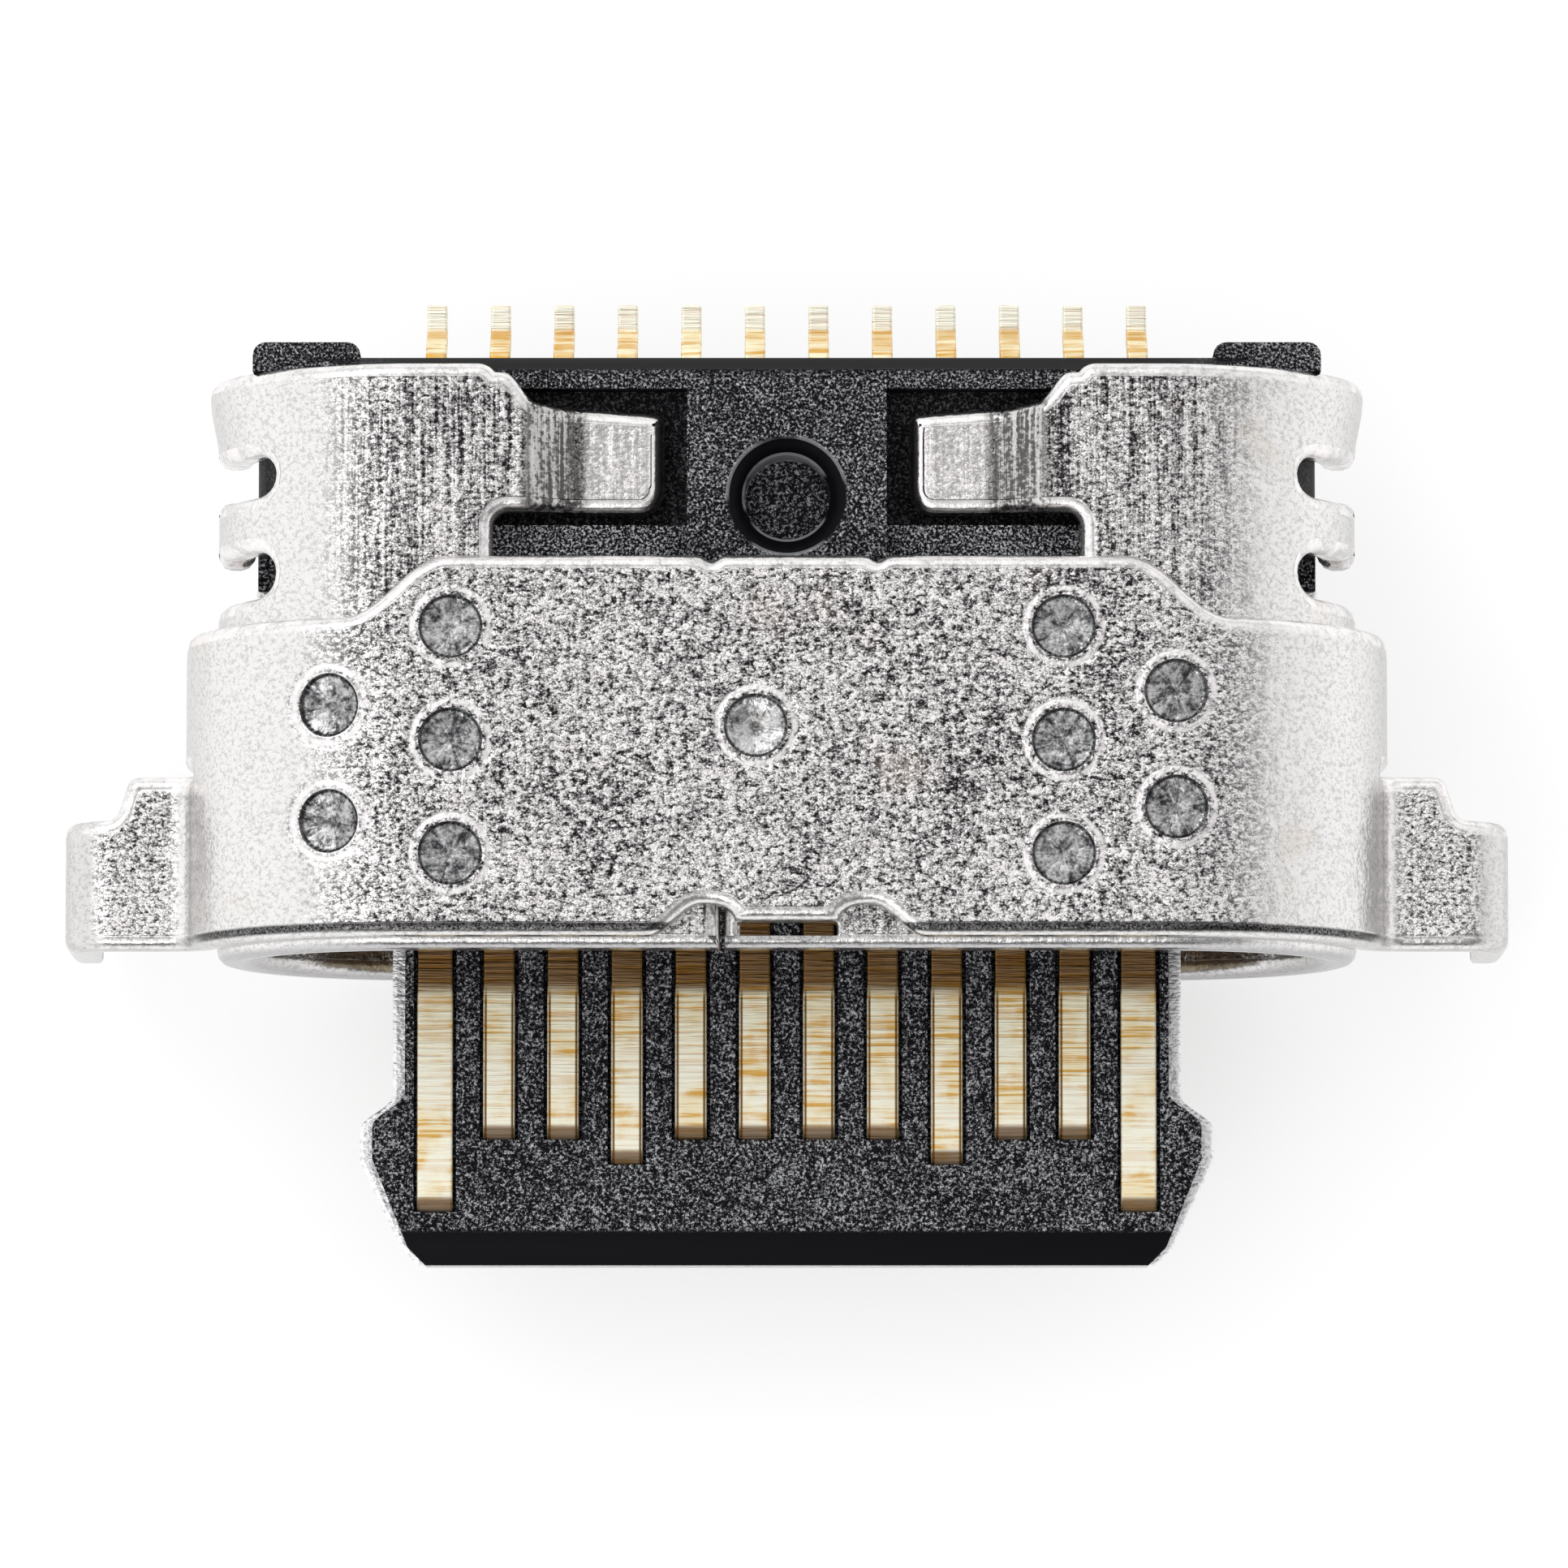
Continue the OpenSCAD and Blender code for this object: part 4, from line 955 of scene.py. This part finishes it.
def bendStrip(name, x, path, widthAt, thick, rim, look, node, step=0.12):
    # a strip with rounded edges and ends, of the width that widthAt(y) gives
    fine = [path[0]]
    for p, q in zip(path, path[1:]):
        pieces = max(1, math.ceil(np.linalg.norm(q - p) / step))
        fine += [p + (q - p) * k / pieces for k in range(1, pieces + 1)]
    fine = np.array(fine)
    direction = np.gradient(fine, axis=0)
    direction /= np.linalg.norm(direction, axis=1)[:, None]
    ends = []
    for end, sign in ((0, 1), (-1, -1)):
        ends.append([(fine[end] + direction[end] * sign * rim * (1 - math.cos(t)), direction[end],
                      rim * (1 - math.sin(t)), t, -sign) for t in np.radians(blank["turns"])][::sign])
    inside = [(p, d, 0.0, math.pi / 2, 1) for p, d in zip(fine[1:-1], direction[1:-1])
              if min(np.linalg.norm(p - fine[0]), np.linalg.norm(p - fine[-1])) > rim * 1.5]
    rows = ends[0] + inside + ends[1]
    points, normals, faces = [], [], []
    corners = [(1, 1, 0), (-1, 1, 90), (-1, -1, 180), (1, -1, 270)]  # side, height and first turn of each
    turns = (0, 45, 90)
    ring = len(corners) * len(turns)
    for spot, d, inset, turn, sign in rows:
        up = np.array([-d[1], d[0]])
        w, h = widthAt(spot[0]) / 2 - rim, thick / 2 - rim
        radius = rim - inset
        for cx, cz, base in corners:
            for more in turns:
                t = math.radians(base + more)
                ox, oz = cx * w + radius * math.cos(t), cz * h + radius * math.sin(t)
                yz = spot + up * oz
                points.append((x + ox, yz[0], yz[1]))
                side = np.array([math.cos(t), *(up * math.sin(t))])
                normals.append(side * math.sin(turn) + np.array([0, *(d * sign)]) * math.cos(turn))
    for k in range(len(rows) - 1):
        for i in range(ring):
            j = (i + 1) % ring
            faces.append((k * ring + i, k * ring + j, (k + 1) * ring + j, (k + 1) * ring + i))
    last = (len(rows) - 1) * ring
    faces += [tuple(reversed(range(ring))), tuple(last + i for i in range(ring))]
    makeObject(name, points, [f[::-1] for f in faces], normals, look, [node])


def bendContacts():
    for i in range(strip["count"]):
        x = (i - (strip["count"] - 1) / 2) * strip["pitch"]
        start = plate["tip"] + strip["starts"].get(i, strip["start"])
        blade = strip["ground"] if i in (0, strip["count"] - 1) else strip["blade"]

        def widthAt(y, blade=blade):
            t = min(1, max(0, (y - strip["narrowAt"]) / strip["narrowRun"] + 0.5))
            return blade + (strip["tail"] - blade) * t

        z, foot, run = strip["bladeZ"], strip["footZ"], strip["runZ"]
        rise, fall, drop = strip["upperRise"], strip["upperFall"], strip["lowerRise"]
        upper = [(rise[0], z), (rise[1], run), (fall[0], run), (fall[1], foot), (strip["upperEnd"], foot)]
        lower = [(drop[0], -z), (drop[1], foot), (strip["lowerEnd"], foot)]
        for row, side, path in (("upper", 1, upper), ("lower", -1, lower)):
            dip = [(start, side * (z - strip["dip"])), (start + strip["dipRun"], side * z)]
            bendStrip("%sContact%02d" % (row, i + 1), x, roundedPath(dip + path, strip["bend"]), widthAt,
                      strip["thick"], strip["rim"], looks["gold"], "%s_contact_%02d" % (row, i + 1))


bendContacts()
print("contacts bent")

pad = {
    "wide": 5.6, "thick": 0.1, "front": 0.95, "rear": 2.0, "low": 0.5, "high": 1.28,
    "bend": 0.11, "rim": 0.02, "step": 0.2,
}


def bendPads():
    for row, side in (("upper", 1), ("lower", -1)):
        low, high = side * pad["low"], side * pad["high"]
        path = roundedPath([(pad["front"], low), (pad["rear"], low), (pad["rear"], high)], pad["bend"])
        bendStrip(row + "GroundPad", 0.0, path, lambda y: pad["wide"], pad["thick"],
                  pad["rim"], looks["pad"], row + "_ground_pad", pad["step"])


bendPads()
print("ground pads bent")

moulding = {
    "round": 0.018, "steps": 2,
    "sharp": 35,  # degrees, edges sharper than this are rounded
    "flat": 1.0,  # degrees, faces closer than this are joined
    "weld": 2e-7,  # metres
}


def roundMoulding():
    # the moulding keeps its own faces and gets rounded edges
    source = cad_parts["housing"]
    mesh = source.data.copy()
    mesh.name = "mouldedHousing"
    work = bmesh.new()
    work.from_mesh(mesh)
    bmesh.ops.remove_doubles(work, verts=work.verts, dist=moulding["weld"])
    bmesh.ops.dissolve_limit(work, angle_limit=math.radians(moulding["flat"]), verts=work.verts, edges=work.edges)
    work.to_mesh(mesh)
    work.free()
    mesh.materials.clear()
    mesh.materials.append(looks["black"])
    mesh.polygons.foreach_set("use_smooth", [True] * len(mesh.polygons))
    piece = addObject("mouldedHousing", mesh)
    soft = piece.modifiers.new("round", "BEVEL")
    soft.width = moulding["round"] * mm
    soft.segments = moulding["steps"]
    soft.limit_method = "ANGLE"
    soft.angle_limit = math.radians(moulding["sharp"])
    soft.harden_normals = True
    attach(piece, "root")
    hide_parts("housing")


roundMoulding()
for node in ("upper_wafer", "lower_wafer"):
    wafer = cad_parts[node]
    wafer.data.materials.clear()
    wafer.data.materials.append(looks["wafer"])
print("moulding rounded")

room = {
    "floorHalf": 300,  # millimetres
    "floorMatt": (0.9, 0.9, 0.9, 1),  # what lights the part from below
    "floorSeen": (0.45, 0.45, 0.45, 1), "floorGlow": 0.66,  # what is seen
    # lamps by place, size in millimetres and watts
    "lamps": {"frontLamp": ((-30, -65, 85), (70, 45), 0.0160), "rearLamp": ((-45, 62, 70), (80, 50), 0.0160)},
    "lampAim": (0, 1.5, 0),
    # how bright the walls are, and what each patch of them adds or takes
    "walls": 0.94, "lid": -0.44, "left": 0.12, "right": -0.62, "front": -0.40, "sides": 0.06, "rear": 0.06,
    "rearBand": -0.22, "skirting": 0.06, "blue": 1.01,
}


def paintFloor():
    look = openTree(bpy.data.materials.new("paleFloor"))
    matt = Wire.node("ShaderNodeBsdfDiffuse", None, {"Color": room["floorMatt"]})
    thin = Wire.node("ShaderNodeBsdfDiffuse", None, {"Color": room["floorSeen"]})
    glow = Wire.node("ShaderNodeEmission", None, {"Color": (1, 1, 1, 1), "Strength": room["floorGlow"]})
    both = Wire.node("ShaderNodeAddShader", None, {0: thin, 1: glow})
    camera, glossy, clear = (Wire.node("ShaderNodeLightPath", out=k) for k in (0, 3, 6))
    made = Wire.node("ShaderNodeMixShader", None, {0: camera + glossy + clear, 1: matt, 2: both})
    Wire.node("ShaderNodeOutputMaterial", None, {"Surface": made})
    return look


def layFloor():
    size, low = room["floorHalf"] * mm, cadBox[0][2]
    mesh = bpy.data.meshes.new("floor")
    mesh.from_pydata([(-size, -size, low), (size, -size, low), (size, size, low), (-size, size, low)], [],
                     [(0, 1, 2, 3)])
    mesh.materials.append(paintFloor())
    floor = addObject("floor", mesh)


def hangLamp(name, where, size, power):
    lamp = bpy.data.lights.new(name, "AREA")
    lamp.shape = "RECTANGLE"
    lamp.size, lamp.size_y = size[0] * mm, size[1] * mm
    lamp.energy = power
    holder = addObject(name, lamp)
    holder.location = Vector(where) * mm
    holder.rotation_mode = "QUATERNION"
    holder.rotation_quaternion = (Vector(room["lampAim"]) - Vector(where)).to_track_quat("-Z", "Y")


def paintWalls():
    world = openTree(bpy.data.worlds.new("room"))
    way = Wire.node("ShaderNodeTexCoord", out=0)
    across, behind, rise = (axisOf(way, k) for k in "XYZ")
    sides, rear, horizon = across.size().clip(0.70, 0.92), behind.clip(0.3, 0.7), 1 - rise.clip(0.15, 0.70)
    lid = (rise * 0.995 + behind * 0.096).clip(0.950, 0.992)  # the dim patch above
    left = (behind * 0.30 - across * 0.95).clip(0.05, 0.55)
    right = (across * 0.60 - behind * 0.80).clip(0.20, 0.55) * (1 - sides) * rise.clip(0.2, 0.5)
    front = (-1 * behind).clip(0.75, 0.92) * (1 - sides) * rise.clip(0.05, 0.2)
    band = rise.clip(0.06, 0.14) * (1 - rise.clip(0.25, 0.50)) * (1 - sides) * rear
    level = room["walls"] + lid * room["lid"] + left * room["left"] + right * room["right"] + front * room["front"]
    level = level + sides * horizon * room["sides"] + rear * (1 - horizon) * room["rear"]
    level = level + band * room["rearBand"] + (1 - rise.clip(0.0, 0.08)) * room["skirting"]
    walls = Wire.node("ShaderNodeCombineXYZ", None, {"X": level, "Y": level, "Z": level * room["blue"]})
    light = Wire.node("ShaderNodeBackground", None, {"Color": walls, "Strength": 1.0})
    Wire.node("ShaderNodeOutputWorld", None, {"Surface": light})
    return world


def lightRoom():
    layFloor()
    for name, lamp in room["lamps"].items():
        hangLamp(name, *lamp)
    bpy.context.scene.world = paintWalls()
    bpy.context.scene.view_settings.view_transform = "Standard"


lightRoom()
print("lamps hung")
